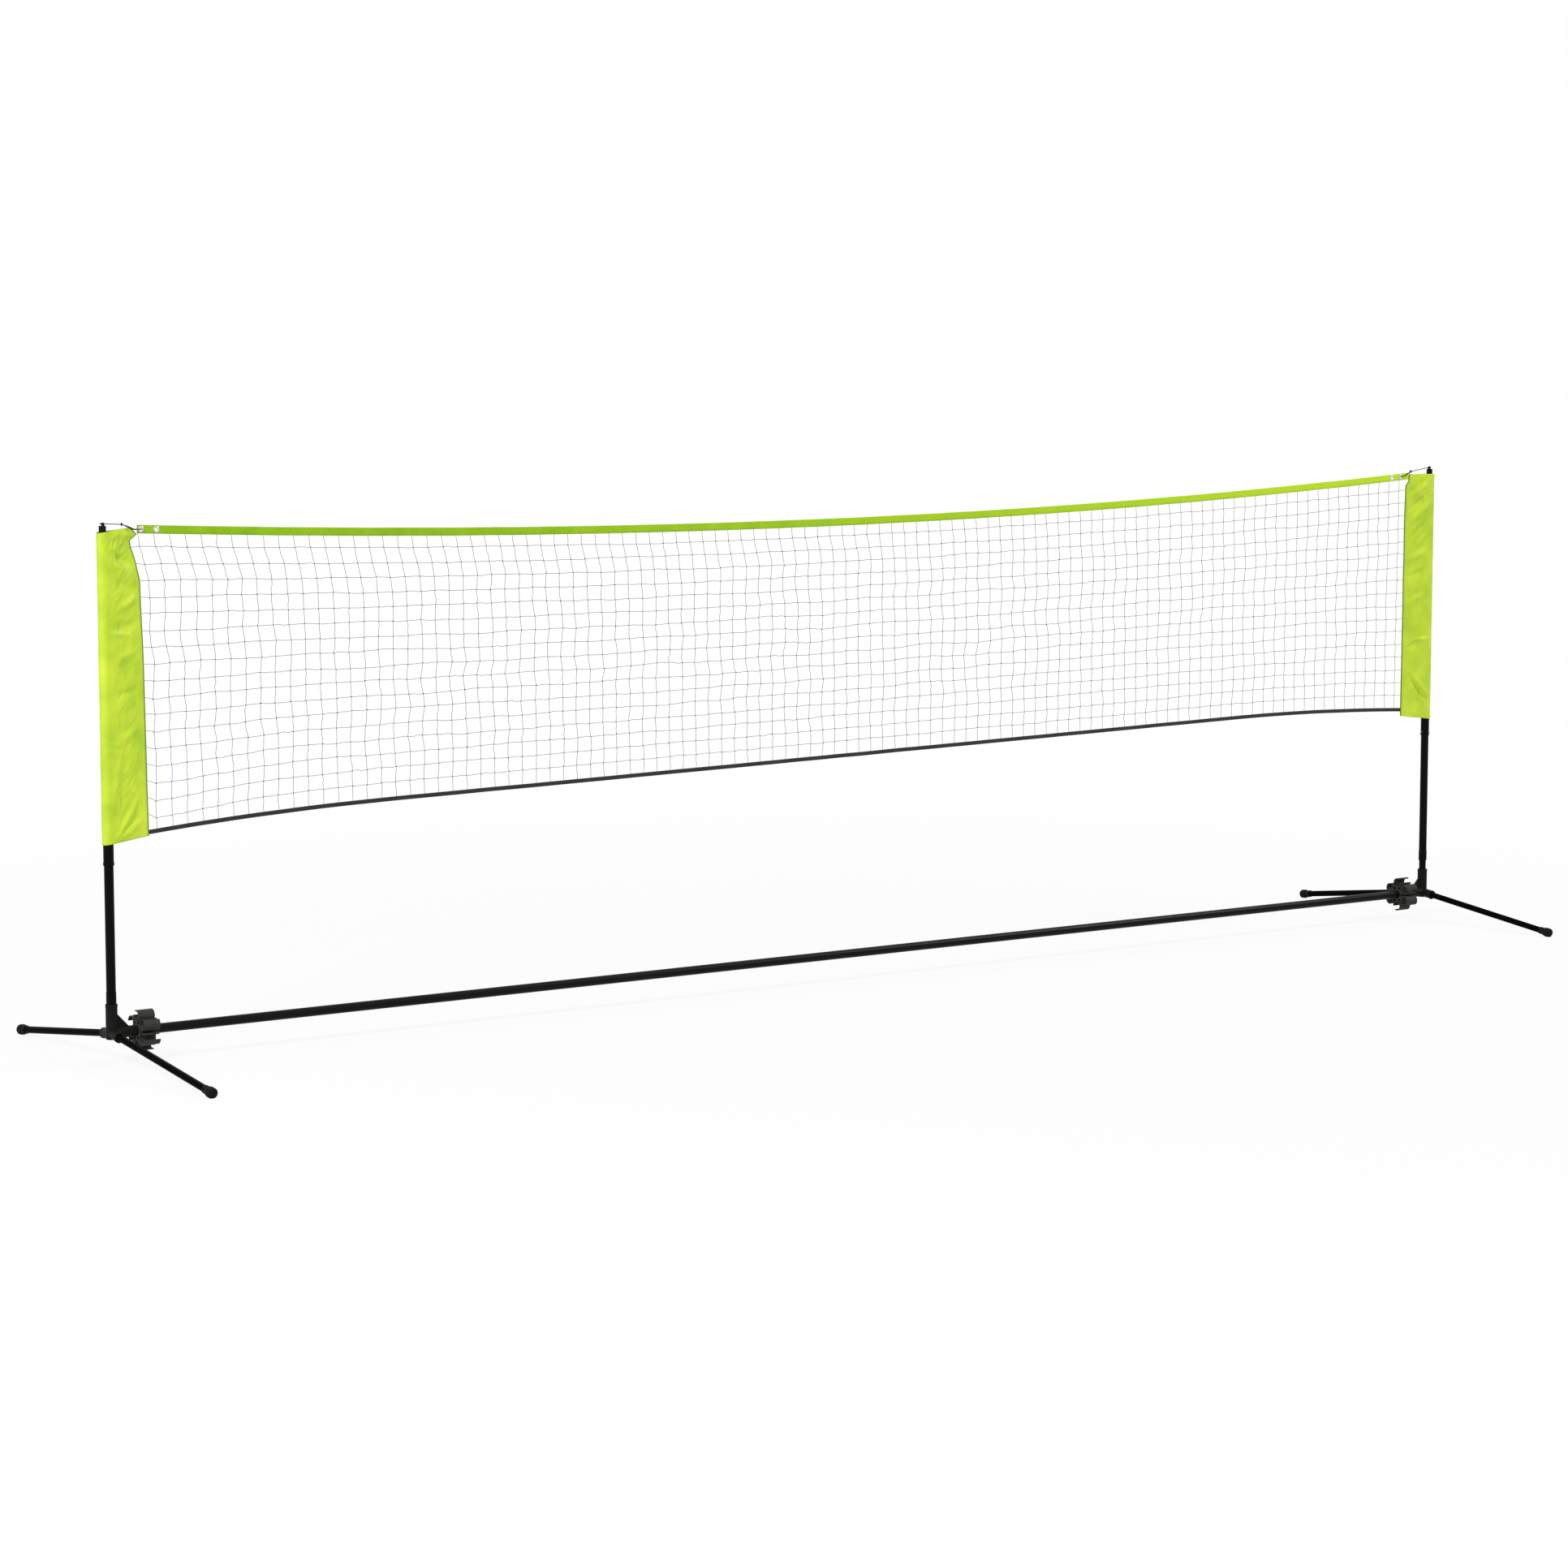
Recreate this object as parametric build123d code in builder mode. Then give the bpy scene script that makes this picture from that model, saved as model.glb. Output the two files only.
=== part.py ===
from build123d import *
import math
import os

os.makedirs("parts", exist_ok=True)

# A portable net on two telescopic poles, all sizes in millimetres.
# X runs along the net, Y across it, Z up. The origin is on the ground, half way
# between the two posts, and the net hangs in the plane Y = 0.

# Overall
post_spacing = 4100.0       # between the axes of the two posts
hub_height = 72.0           # crossbar axis above the ground
foot_reach = 492.0          # along a leg, from the post axis to the middle of its foot
socket_top = 138.0          # top of the upright socket of each base
net_top_rise = {"left": 5.0, "right": -5.0}     # end of the top tape above the sleeve's top
net_sag = 56.0              # how far the top tape hangs below a straight line
net_bottom_rise = {"left": 19.1, "right": 28.9}  # end of the bottom tape above the sleeve's hem
bottom_droop = 23.5         # how far the bottom tape dips at each end
droop_length = 650.0

# Tubes, each one telescoping over the one before it
slide_gap = 0.2             # radial clearance between tubes that slide
stub_od = 19.2
stub_wall = 1.2
lower_wall = 1.0
upper_wall = 0.8
lower_id = stub_od + 2 * slide_gap
lower_od = lower_id + 2 * lower_wall
upper_id = lower_od + 2 * slide_gap
upper_od = upper_id + 2 * upper_wall
stub_length = 190.0
lower_length = 700.0
upper_length = 743.0
bell_growth = 0.7           # how much a flared tube end stands proud of its tube
lower_bell = 28.0
upper_bell = 8.0
lower_lift = {"left": 0.0, "right": 26.0}     # lower pole above its seat
upper_start = {"left": 314.0, "right": 360.0}  # upper pole above the lower pole's end

bar_od = 22.0
bar_wall = 1.2
bar_sections = 4
spigot_length = 45.0
leg_od = 16.5
leg_wall = 1.2

# Base hub
hub_wall = 4.2
hub_bar_wall = 2.0
hub_leg_wall = 3.6
bore_gap = 0.15             # radial clearance of a tube in its socket
bar_seat = 22.0             # end of the crossbar, from the post axis
bar_socket_end = 57.0
leg_seat = 17.0             # end of a leg tube, from the post axis
leg_socket_end = 41.0
stub_seat = hub_height + 17.0
hub_radius = stub_od / 2 + hub_wall
web_thickness = 6.0

# Snap buttons and their holes
button_radius = 3.3
button_hole_radius = 3.5
button_proud = 2.0
button_height = 369.0       # above the lower end of the lower pole
hole_pitch = 46.0
hole_count = 8
first_hole = 9.0            # above the lower end of the upper pole
button_flange_radius = 4.4
button_flange = 1.0
spring_strip = 0.8
spring_width = 6.0

# Storage clip
clip_start = 60.0           # from the post axis
clip_length = 40.0
clip_hub_wall = 3.9
clip_gap = 0.3              # radial clearance of the clip on the crossbar
clip_arms = 6
claw_inner = bar_od / 2 + 0.2
claw_wall = 2.8
claw_stem = 3.3             # between the clip's ring and each claw
claw_mouth_turn = -55.0
claw_mouth = 1.15 * claw_inner
claw_tip = 1.8              # radius of the rounded bead along each claw's mouth

# Feet
foot_radius = 12.5
foot_flat = 0.8             # depth of the flat worn under each foot
collar_wall = 1.6

# Soft goods
sleeve_height = 697.0
sleeve_wall = 1.5
sleeve_gap = 0.5            # pocket clearance round the pole
tape_height = 19.0
tape_thickness = 3.0
bottom_tape_height = 10.0
bottom_tape_thickness = 3.0
tape_end = 84.0             # from the post axis
net_thickness = 2.4
net_corner = {"left": 90.0, "right": 97.0}  # top corners of the net, from the post axis
net_clearance = 1.0         # from the sleeves' inner edges
net_columns = 50
net_rows = 6
strand_width = 5.0
eyelet_hole = 4.0
eyelet_barrel = eyelet_hole + 0.8
eyelet_rim = eyelet_hole + 3.6
eyelet_flange = 0.9
eyelet_places = {"left": (93.0, 131.0), "right": (114.0, 148.0)}

# Pole caps and ties
cap_stem = 25.0
cap_flange = 2.0
cap_knob_radius = upper_od / 2 - 3.6
cap_knob_height = 14.0
nub_width = 6.0
nub_length = 5.0
nub_height = 8.0
nub_start = -1.0            # from the post axis
nub_crown = 2.8             # cord hole below the top of the nub
cord_radius = 1.0
cord_hole_radius = 1.5
hook_radius = 1.3
knot_radius = 2.6
cord_drop = {"left": 0.045, "right": 0.15}  # fall of the cord for each millimetre of its run
knot_place = {"left": 47.0, "right": 74.0}
hook_rise = {"left": 0.0, "right": 7.0}     # bend of the hook above its eyelet

sides = {"left": -1, "right": 1}
half_span = post_spacing / 2
leg_drop = hub_height - foot_radius + foot_flat
leg_slope = math.degrees(math.asin(leg_drop / foot_reach))


def save(builder, name):
    """Label a finished piece and write its STEP file."""
    builder.part.label = name
    export_step(builder.part, "parts/" + name + ".step")


def inboard(side, distance):
    """X of a point that lies the given distance from a post, towards the net."""
    return sides[side] * (half_span - distance)


def lower_end(side):
    return socket_top + lower_lift[side]


def upper_end(side):
    return lower_end(side) + upper_start[side]


def pole_top(side):
    return upper_end(side) + upper_length


def sleeve_top(side):
    return pole_top(side) + cap_flange


def nub_floor(side):
    return sleeve_top(side) + cap_knob_height


def top_tape(x):
    """Height of the middle of the top tape: a shallow parabola between its two ends."""
    reach = half_span - tape_end
    share = (x + reach) / (2 * reach)
    left, right = [sleeve_top(side) + net_top_rise[side] for side in sides]
    return left + (right - left) * share - 4 * net_sag * share * (1 - share)


def bottom_tape(x):
    """Height of the middle of the bottom tape: straight, with a dip at each end."""
    reach = half_span - tape_end
    share = (x + reach) / (2 * reach)
    left, right = [sleeve_top(side) - sleeve_height + net_bottom_rise[side] for side in sides]
    bend = max(0.0, 1 - (reach - abs(x)) / droop_length)
    return left + (right - left) * share + bottom_droop * (1 - bend ** 2)


def toward_net(side, distance, height):
    """Plane whose normal points from a post towards the net, with its own Y upwards."""
    way = -sides[side]
    return Plane(origin=(inboard(side, distance), 0, height), x_dir=(0, way, 0), z_dir=(way, 0, 0))


def leg_plane(side, front, distance):
    """Plane square to a leg's axis, at a distance from the post along that axis."""
    way = -1 if front else 1
    tilt = math.radians(leg_slope)
    outward = (0, way * math.cos(tilt), -math.sin(tilt))
    start = Vector(sides[side] * half_span, 0, hub_height)
    return Plane(origin=start + Vector(*outward) * distance, x_dir=(1, 0, 0), z_dir=outward)


# ---------------------------------------------------------------------------
# Bases: one moulded hub a side, with sockets for the pole, the crossbar and two legs
# ---------------------------------------------------------------------------
for side in sides:
    post_x = sides[side] * half_span
    web_foot = bar_od / 2 + hub_bar_wall
    hub_floor = hub_height - web_foot - 0.6
    with BuildPart() as base_hub:
        with BuildSketch(Plane.XY.offset(hub_floor)):
            with Locations((post_x, 0)):
                Circle(hub_radius - 0.4)
        extrude(amount=socket_top - hub_floor)
        with BuildSketch(Plane.XY.offset(socket_top - 7)):
            with Locations((post_x, 0)):
                Circle(hub_radius)
        extrude(amount=7)
        with BuildSketch(toward_net(side, 0, hub_height)):
            Circle(bar_od / 2 + hub_bar_wall)
        extrude(amount=bar_socket_end)
        for front in (True, False):
            with BuildSketch(leg_plane(side, front, 0)):
                Circle(leg_od / 2 + hub_leg_wall)
            extrude(amount=leg_socket_end)
            with BuildSketch(leg_plane(side, front, leg_socket_end - 5)):
                Circle(leg_od / 2 + hub_leg_wall + 0.8)
            extrude(amount=5)
        with BuildSketch(Plane.XZ):
            with BuildLine():
                Polyline(
                    (inboard(side, hub_radius - 3), hub_height + 42),
                    (inboard(side, hub_radius - 0.5), hub_height + 42),
                    (inboard(side, hub_radius + 28), hub_height + web_foot - 1),
                    (inboard(side, hub_radius - 3), hub_height + web_foot - 1),
                    close=True,
                )
            make_face()
        extrude(amount=web_thickness / 2, both=True)
        with BuildSketch(Plane.XY.offset(stub_seat)):
            with Locations((post_x, 0)):
                Circle(stub_od / 2 + bore_gap)
        extrude(amount=socket_top - stub_seat, mode=Mode.SUBTRACT)
        with BuildSketch(toward_net(side, bar_seat, hub_height)):
            Circle(bar_od / 2 + bore_gap)
        extrude(amount=bar_socket_end - bar_seat, mode=Mode.SUBTRACT)
        for front in (True, False):
            with BuildSketch(leg_plane(side, front, leg_seat)):
                Circle(leg_od / 2 + bore_gap)
            extrude(amount=leg_socket_end - leg_seat, mode=Mode.SUBTRACT)
    save(base_hub, "base_hub_" + side)

# ---------------------------------------------------------------------------
# Crossbar: equal tubes, each with a swaged spigot that plugs into the next one
# ---------------------------------------------------------------------------
bar_reach = half_span - bar_seat
section_length = 2 * bar_reach / bar_sections
bar_bore = bar_od / 2 - bar_wall
spigot_radius = bar_bore - slide_gap
for number in range(bar_sections):
    start = -bar_reach + number * section_length
    has_spigot = number < bar_sections - 1
    with BuildPart() as crossbar_tube:
        with BuildSketch(Plane(origin=(start, 0, hub_height), x_dir=(0, 1, 0), z_dir=(1, 0, 0))):
            Circle(bar_od / 2)
        extrude(amount=section_length)
        chamfer(crossbar_tube.edges().filter_by(GeomType.CIRCLE), 0.3)
        shoulder = start + section_length
        if has_spigot:
            with BuildSketch(Plane(origin=(shoulder, 0, hub_height), x_dir=(0, 1, 0), z_dir=(1, 0, 0))):
                Circle(spigot_radius)
            extrude(amount=spigot_length)
        with BuildSketch(Plane(origin=(start, 0, hub_height), x_dir=(0, 1, 0), z_dir=(1, 0, 0))):
            Circle(bar_bore)
        extrude(amount=section_length - (4 if has_spigot else 0), mode=Mode.SUBTRACT)
        if has_spigot:
            with BuildSketch(Plane(origin=(shoulder - 5, 0, hub_height), x_dir=(0, 1, 0), z_dir=(1, 0, 0))):
                Circle(spigot_radius - bar_wall)
            extrude(amount=spigot_length + 5, mode=Mode.SUBTRACT)
    save(crossbar_tube, "crossbar_tube_" + str(number + 1))

# ---------------------------------------------------------------------------
# Legs and their rubber feet
# ---------------------------------------------------------------------------
cap_mouth = foot_reach - 27
tube_stop = foot_reach - 4
foot_end = foot_reach + 10
for side in sides:
    for front in (True, False):
        place = ("front_" if front else "rear_") + side
        with BuildPart() as leg_tube:
            with BuildSketch(leg_plane(side, front, leg_seat)):
                Circle(leg_od / 2)
                Circle(leg_od / 2 - leg_wall, mode=Mode.SUBTRACT)
            extrude(amount=tube_stop - leg_seat)
        save(leg_tube, "leg_tube_" + place)

        # The foot is turned: a collar over the tube, a flare, and a round bulb.
        middle = leg_plane(side, front, foot_reach)
        turning = Plane(origin=middle.origin, x_dir=middle.z_dir, z_dir=middle.x_dir)
        collar_radius = leg_od / 2 + collar_wall
        with BuildPart() as foot_cap:
            with BuildSketch(turning):
                with BuildLine():
                    Line((-27, leg_od / 2 + 0.1), (-27, collar_radius))
                    Line((-27, collar_radius), (-15, collar_radius))
                    Line((-15, collar_radius), (-6, foot_radius))
                    Line((-6, foot_radius), (5, foot_radius))
                    ThreePointArc((5, foot_radius), (8.6, foot_radius - 1.4), (10, foot_radius - 4))
                    Line((10, foot_radius - 4), (10, 0))
                    Line((10, 0), (-4, 0))
                    Line((-4, 0), (-4, leg_od / 2 + 0.1))
                    Line((-4, leg_od / 2 + 0.1), (-27, leg_od / 2 + 0.1))
                make_face()
            revolve(axis=Axis(middle.origin, middle.z_dir))
            split(bisect_by=Plane.XY, keep=Keep.TOP)
        save(foot_cap, "foot_cap_" + place)

# ---------------------------------------------------------------------------
# Poles: a stub fixed in each base, a lower tube over it, and an upper tube over that
# ---------------------------------------------------------------------------
for side in sides:
    post_x = sides[side] * half_span
    with BuildPart() as pole_stub:
        with BuildSketch(Plane.XY.offset(stub_seat)):
            with Locations((post_x, 0)):
                Circle(stub_od / 2)
                Circle(stub_od / 2 - stub_wall, mode=Mode.SUBTRACT)
        extrude(amount=stub_length)
    save(pole_stub, "pole_stub_" + side)

    bottom = lower_end(side)
    with BuildPart() as lower_pole:
        with BuildSketch(Plane.XY.offset(bottom)):
            with Locations((post_x, 0)):
                Circle(lower_od / 2)
        extrude(amount=lower_length)
        with BuildSketch(Plane.XY.offset(bottom)):
            with Locations((post_x, 0)):
                Circle(lower_od / 2 + bell_growth)
        extrude(amount=lower_bell)
        bell_rims = lower_pole.edges().filter_by(GeomType.CIRCLE).group_by(Axis.Z)[1]
        chamfer(bell_rims.sort_by(SortBy.RADIUS)[-1], bell_growth * 0.9)
        with BuildSketch(Plane.XY.offset(bottom)):
            with Locations((post_x, 0)):
                Circle(lower_id / 2)
        extrude(amount=lower_length, mode=Mode.SUBTRACT)
        with BuildSketch(toward_net(side, 0, bottom + button_height)):
            Circle(button_hole_radius)
        extrude(amount=lower_od, mode=Mode.SUBTRACT)
    save(lower_pole, "lower_pole_" + side)

    start = upper_end(side)
    with BuildPart() as upper_pole:
        with BuildSketch(Plane.XY.offset(start)):
            with Locations((post_x, 0)):
                Circle(upper_od / 2)
        extrude(amount=upper_length)
        with BuildSketch(Plane.XY.offset(start)):
            with Locations((post_x, 0)):
                Circle(upper_od / 2 + bell_growth)
        extrude(amount=upper_bell)
        bell_rims = upper_pole.edges().filter_by(GeomType.CIRCLE).group_by(Axis.Z)[1]
        chamfer(bell_rims.sort_by(SortBy.RADIUS)[-1], bell_growth * 0.9)
        with BuildSketch(Plane.XY.offset(start)):
            with Locations((post_x, 0)):
                Circle(upper_id / 2)
        extrude(amount=upper_length, mode=Mode.SUBTRACT)
        with BuildSketch(toward_net(side, 0, start + first_hole)):
            with Locations(*[(0, number * hole_pitch) for number in range(hole_count)]):
                Circle(button_hole_radius)
        extrude(amount=upper_od, mode=Mode.SUBTRACT)
    save(upper_pole, "upper_pole_" + side)

    # Snap button: a domed pin with a flange that keeps it inside the lower pole.
    centre = bottom + button_height
    wall_inside = math.sqrt((lower_id / 2) ** 2 - button_flange_radius ** 2)
    flange_face = wall_inside - 0.3
    tip = upper_od / 2 + button_proud
    with BuildPart() as snap_button:
        with BuildSketch(toward_net(side, flange_face - button_flange, centre)):
            Circle(button_flange_radius)
        extrude(amount=button_flange)
        with BuildSketch(toward_net(side, flange_face, centre)):
            Circle(button_radius)
        extrude(amount=tip - flange_face)
        rims = snap_button.edges().filter_by(GeomType.CIRCLE).sort_by(Axis.X)
        fillet(rims[0 if side == "right" else -1], 1.8)
    save(snap_button, "snap_button_" + side)

    # V spring of strip steel, its long arm on the far wall and its short arm on the button.
    arm_x = flange_face - button_flange - spring_strip / 2
    far_x = -math.sqrt((lower_id / 2 - 0.1) ** 2 - (spring_width / 2) ** 2) + spring_strip / 2
    with BuildPart() as button_spring:
        with BuildSketch(Plane.XZ):
            with BuildLine() as strip:
                FilletPolyline(
                    (inboard(side, arm_x), centre + 5),
                    (inboard(side, arm_x), centre - 6),
                    (inboard(side, 0), centre - 38),
                    (inboard(side, far_x), centre + 6),
                    radius=1.6,
                )
            trace(line_width=spring_strip)
        extrude(amount=spring_width / 2, both=True)
    save(button_spring, "button_spring_" + side)

    # Cap: a stem in the tube, a flange on its rim, a knob, and a nub with a cord hole.
    rim = pole_top(side)
    with BuildPart() as pole_cap:
        with BuildSketch(Plane.XY.offset(rim - cap_stem)):
            with Locations((post_x, 0)):
                Circle(upper_id / 2 - bore_gap)
        extrude(amount=cap_stem)
        with BuildSketch(Plane.XY.offset(rim)):
            with Locations((post_x, 0)):
                Circle(upper_od / 2)
        extrude(amount=cap_flange)
        with BuildSketch(Plane.XY.offset(rim + cap_flange)):
            with Locations((post_x, 0)):
                Circle(cap_knob_radius)
        extrude(amount=cap_knob_height)
        fillet(pole_cap.edges().filter_by(GeomType.CIRCLE).sort_by(Axis.Z)[-1], 2.0)
        with BuildSketch(Plane.XY.offset(nub_floor(side) - 1)):
            with Locations((inboard(side, nub_start + nub_length / 2), 0)):
                Rectangle(nub_length, nub_width)
        extrude(amount=nub_height)
        fillet(pole_cap.faces().sort_by(Axis.Z)[-1].edges(), 1.2)
        with BuildSketch(toward_net(side, -nub_length, nub_floor(side) + nub_height - 1 - nub_crown)):
            Circle(cord_hole_radius)
        extrude(amount=4 * nub_length, mode=Mode.SUBTRACT)
    save(pole_cap, "pole_cap_" + side)

# ---------------------------------------------------------------------------
# Storage clips: a ring on the crossbar with six claws that hold the tubes for carrying
# ---------------------------------------------------------------------------
clip_bore = bar_od / 2 + clip_gap
clip_hub = clip_bore + clip_hub_wall
claw_outer = claw_inner + claw_wall
claw_centre = clip_hub + claw_stem + claw_outer
bead_ring = (claw_inner + claw_outer) / 2
bead_turn = math.asin((claw_mouth / 2 + 0.6 * claw_tip) / bead_ring)
for side in sides:
    with BuildPart() as storage_clip:
        with BuildSketch(toward_net(side, clip_start, hub_height)):
            Circle(clip_hub)
            with PolarLocations(claw_centre, clip_arms, start_angle=30):
                Circle(claw_outer)
            with PolarLocations((clip_hub + claw_centre - claw_outer) / 2, clip_arms, start_angle=30):
                Rectangle(claw_centre - claw_outer - clip_hub + 5, 7)
            with PolarLocations(claw_centre, clip_arms, start_angle=30):
                Circle(claw_inner, mode=Mode.SUBTRACT)
            for number in range(clip_arms):
                turn = 30 + 360 / clip_arms * number
                centre_y = claw_centre * math.cos(math.radians(turn))
                centre_z = claw_centre * math.sin(math.radians(turn))
                aim = turn + claw_mouth_turn
                mouth_y = centre_y + claw_outer * 0.75 * math.cos(math.radians(aim))
                mouth_z = centre_z + claw_outer * 0.75 * math.sin(math.radians(aim))
                with Locations(Location((mouth_y, mouth_z, 0), (0, 0, aim))):
                    Rectangle(claw_outer * 1.1, claw_mouth, mode=Mode.SUBTRACT)
                for way in (-1, 1):
                    bead = math.radians(aim) + way * bead_turn
                    bead_y = centre_y + bead_ring * math.cos(bead)
                    bead_z = centre_z + bead_ring * math.sin(bead)
                    with Locations((bead_y, bead_z)):
                        Circle(claw_tip)
            Circle(clip_bore, mode=Mode.SUBTRACT)
        extrude(amount=clip_length)
    save(storage_clip, "storage_clip_" + side)

# ---------------------------------------------------------------------------
# Sleeves: folded nylon pockets over the poles, sewn shut along their inner edge
# ---------------------------------------------------------------------------
# Height below the sleeve's top, and the inner edge's distance from the post axis.
# An ear at the top reaches out to the end of the top tape.
sleeve_edge = {
    "left": ((-12, 65), (7, 82), (19, 65), (30, 66), (64, 77), (110, 88), (300, 94), (725, 99.5)),
    "right": ((-12, 66), (4, 82), (16, 83), (22, 83), (32, 94), (110, 95), (300, 97), (725, 99.5)),
}
top_tilt = {"left": 7.6, "right": 0.0}
bottom_tilt = 6.8


def sleeve_inner_edge(side, drop):
    """Distance from the post axis to the sleeve's inner edge, at a drop below its top."""
    places = sleeve_edge[side]
    for (upper, near), (lower, far) in zip(places, places[1:]):
        if drop <= lower:
            return near + (far - near) * (drop - upper) / (lower - upper)
    return places[-1][1]


def leaning(side, height, tilt):
    """Plane across a post, its normal leaning away from the net by the given angle."""
    lean = math.radians(tilt)
    normal = (sides[side] * math.sin(lean), 0, math.cos(lean))
    return Plane(origin=(inboard(side, 0), 0, height), z_dir=normal)


def teardrop(side, height, radius, tail, tail_radius):
    """Closed outline round the pole, drawn in to a thin tail on the net's side."""
    way = -sides[side]
    post_x = sides[side] * half_span
    tail_x = tail - tail_radius
    lean = math.asin((radius - tail_radius) / tail_x)
    s, c = math.sin(lean), math.cos(lean)
    with BuildSketch(Plane(origin=(post_x, 0, height), x_dir=(way, 0, 0), z_dir=(0, 0, 1))) as outline:
        with BuildLine():
            quarter = (math.pi / 2 + lean) / 2
            q, p = math.cos(quarter), math.sin(quarter)
            ThreePointArc((radius * s, radius * c), (-radius * q, radius * p), (-radius, 0))
            ThreePointArc((-radius, 0), (-radius * q, -radius * p), (radius * s, -radius * c))
            Line((radius * s, -radius * c), (tail_x + tail_radius * s, -tail_radius * c))
            ThreePointArc(
                (tail_x + tail_radius * s, -tail_radius * c),
                (tail, 0),
                (tail_x + tail_radius * s, tail_radius * c),
            )
            Line((tail_x + tail_radius * s, tail_radius * c), (radius * s, radius * c))
        make_face()
    return outline.sketch


pocket_radius = upper_od / 2 + bell_growth + sleeve_gap
cloth_radius = pocket_radius + sleeve_wall
hem_width = 9.0
for side in sides:
    crown = sleeve_top(side)
    edge = sleeve_edge[side]
    with BuildPart() as sleeve:
        loft([teardrop(side, crown - drop, cloth_radius, far, 1.6) for drop, far in edge], ruled=True)
        loft(
            [teardrop(side, crown - drop, pocket_radius, far - hem_width, 0.5) for drop, far in edge],
            ruled=True,
            mode=Mode.SUBTRACT,
        )
        split(bisect_by=leaning(side, crown, top_tilt[side]), keep=Keep.BOTTOM)
        split(bisect_by=leaning(side, crown - sleeve_height, bottom_tilt), keep=Keep.TOP)
    save(sleeve, "pole_sleeve_" + side)

# ---------------------------------------------------------------------------
# Net, tapes and eyelets
# ---------------------------------------------------------------------------
top_reach = half_span - tape_end
bottom_reach = half_span - sleeve_edge["left"][-1][1] - net_clearance


def stations(left, right):
    """Places along the net where it changes direction, between its two ends."""
    inner = [-top_reach + 2 * top_reach * i / net_columns for i in range(1, net_columns)]
    return [left] + inner + [right]


def band(height_at, height, reach):
    """Outline of a tape of the given height along its curve, as short straight runs."""
    places = stations(-reach, reach)
    upper = [(x, height_at(x) + height / 2) for x in places]
    lower = [(x, height_at(x) - height / 2) for x in reversed(places)]
    return upper + lower


with BuildPart() as top_tape_band:
    with BuildSketch(Plane.XZ.offset(-tape_thickness / 2)):
        with BuildLine():
            Polyline(*band(top_tape, tape_height, top_reach), close=True)
        make_face()
        for side in sides:
            for place in eyelet_places[side]:
                with Locations((inboard(side, place), top_tape(inboard(side, place)))):
                    Circle(eyelet_barrel + 0.2, mode=Mode.SUBTRACT)
    extrude(amount=tape_thickness)
save(top_tape_band, "top_tape")

with BuildPart() as bottom_tape_band:
    with BuildSketch(Plane.XZ.offset(-bottom_tape_thickness / 2)):
        with BuildLine():
            Polyline(*band(bottom_tape, bottom_tape_height, bottom_reach), close=True)
        make_face()
    extrude(amount=bottom_tape_thickness)
save(bottom_tape_band, "bottom_tape")


top_places = stations(inboard("left", net_corner["left"]), inboard("right", net_corner["right"]))
low_places = stations(-bottom_reach, bottom_reach)


def net_point(column, row):
    """A knot of the net: columns run from left to right, rows from the top down."""
    high = top_tape(top_places[column]) - tape_height / 2
    low = bottom_tape(low_places[column]) + bottom_tape_height / 2
    height = high + (low - high) * row / net_rows
    if row == 0:
        return top_places[column], height
    if row == net_rows or 0 < column < net_columns:
        return low_places[column], height
    side = "left" if column == 0 else "right"
    return inboard(side, sleeve_inner_edge(side, sleeve_top(side) - height) + net_clearance), height


def net_gap(column, row):
    """One gap of the net, drawn in from its four knots by half a strand."""
    corners = [net_point(column + i, row + j) for i, j in ((0, 0), (1, 0), (1, 1), (0, 1))]
    half = strand_width / 2
    shifts = ((half, -half), (-half, -half), (-half, half), (half, half))
    return [(x + dx, z + dz) for (x, z), (dx, dz) in zip(corners, shifts)]


def loop(points):
    """Closed wire through points given as X and Z, on the rear face of the net."""
    return Wire.make_polygon([Vector(x, net_thickness / 2, z) for x, z in points], close=True)


outline = [net_point(column, 0) for column in range(net_columns + 1)]
outline += [net_point(net_columns, row) for row in range(1, net_rows)]
outline += [net_point(column, net_rows) for column in range(net_columns, -1, -1)]
outline += [net_point(0, row) for row in range(net_rows - 1, 0, -1)]
gaps = [loop(net_gap(column, row)) for column in range(net_columns) for row in range(net_rows)]
with BuildPart() as net:
    extrude(Face(loop(outline), gaps), amount=net_thickness, dir=(0, -1, 0))
save(net, "net")

for side in sides:
    with BuildPart() as eyelets:
        for place in eyelet_places[side]:
            x = inboard(side, place)
            with BuildSketch(Plane.XZ.offset(-tape_thickness / 2)):
                with Locations((x, top_tape(x))):
                    Circle(eyelet_barrel)
            extrude(amount=tape_thickness)
            for start in (-tape_thickness / 2 - eyelet_flange, tape_thickness / 2):
                with BuildSketch(Plane.XZ.offset(start)):
                    with Locations((x, top_tape(x))):
                        Circle(eyelet_rim)
                extrude(amount=eyelet_flange)
            with BuildSketch(Plane.XZ.offset(-tape_thickness)):
                with Locations((x, top_tape(x))):
                    Circle(eyelet_hole)
            extrude(amount=2 * tape_thickness, mode=Mode.SUBTRACT)
    save(eyelets, "eyelets_" + side)

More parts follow.
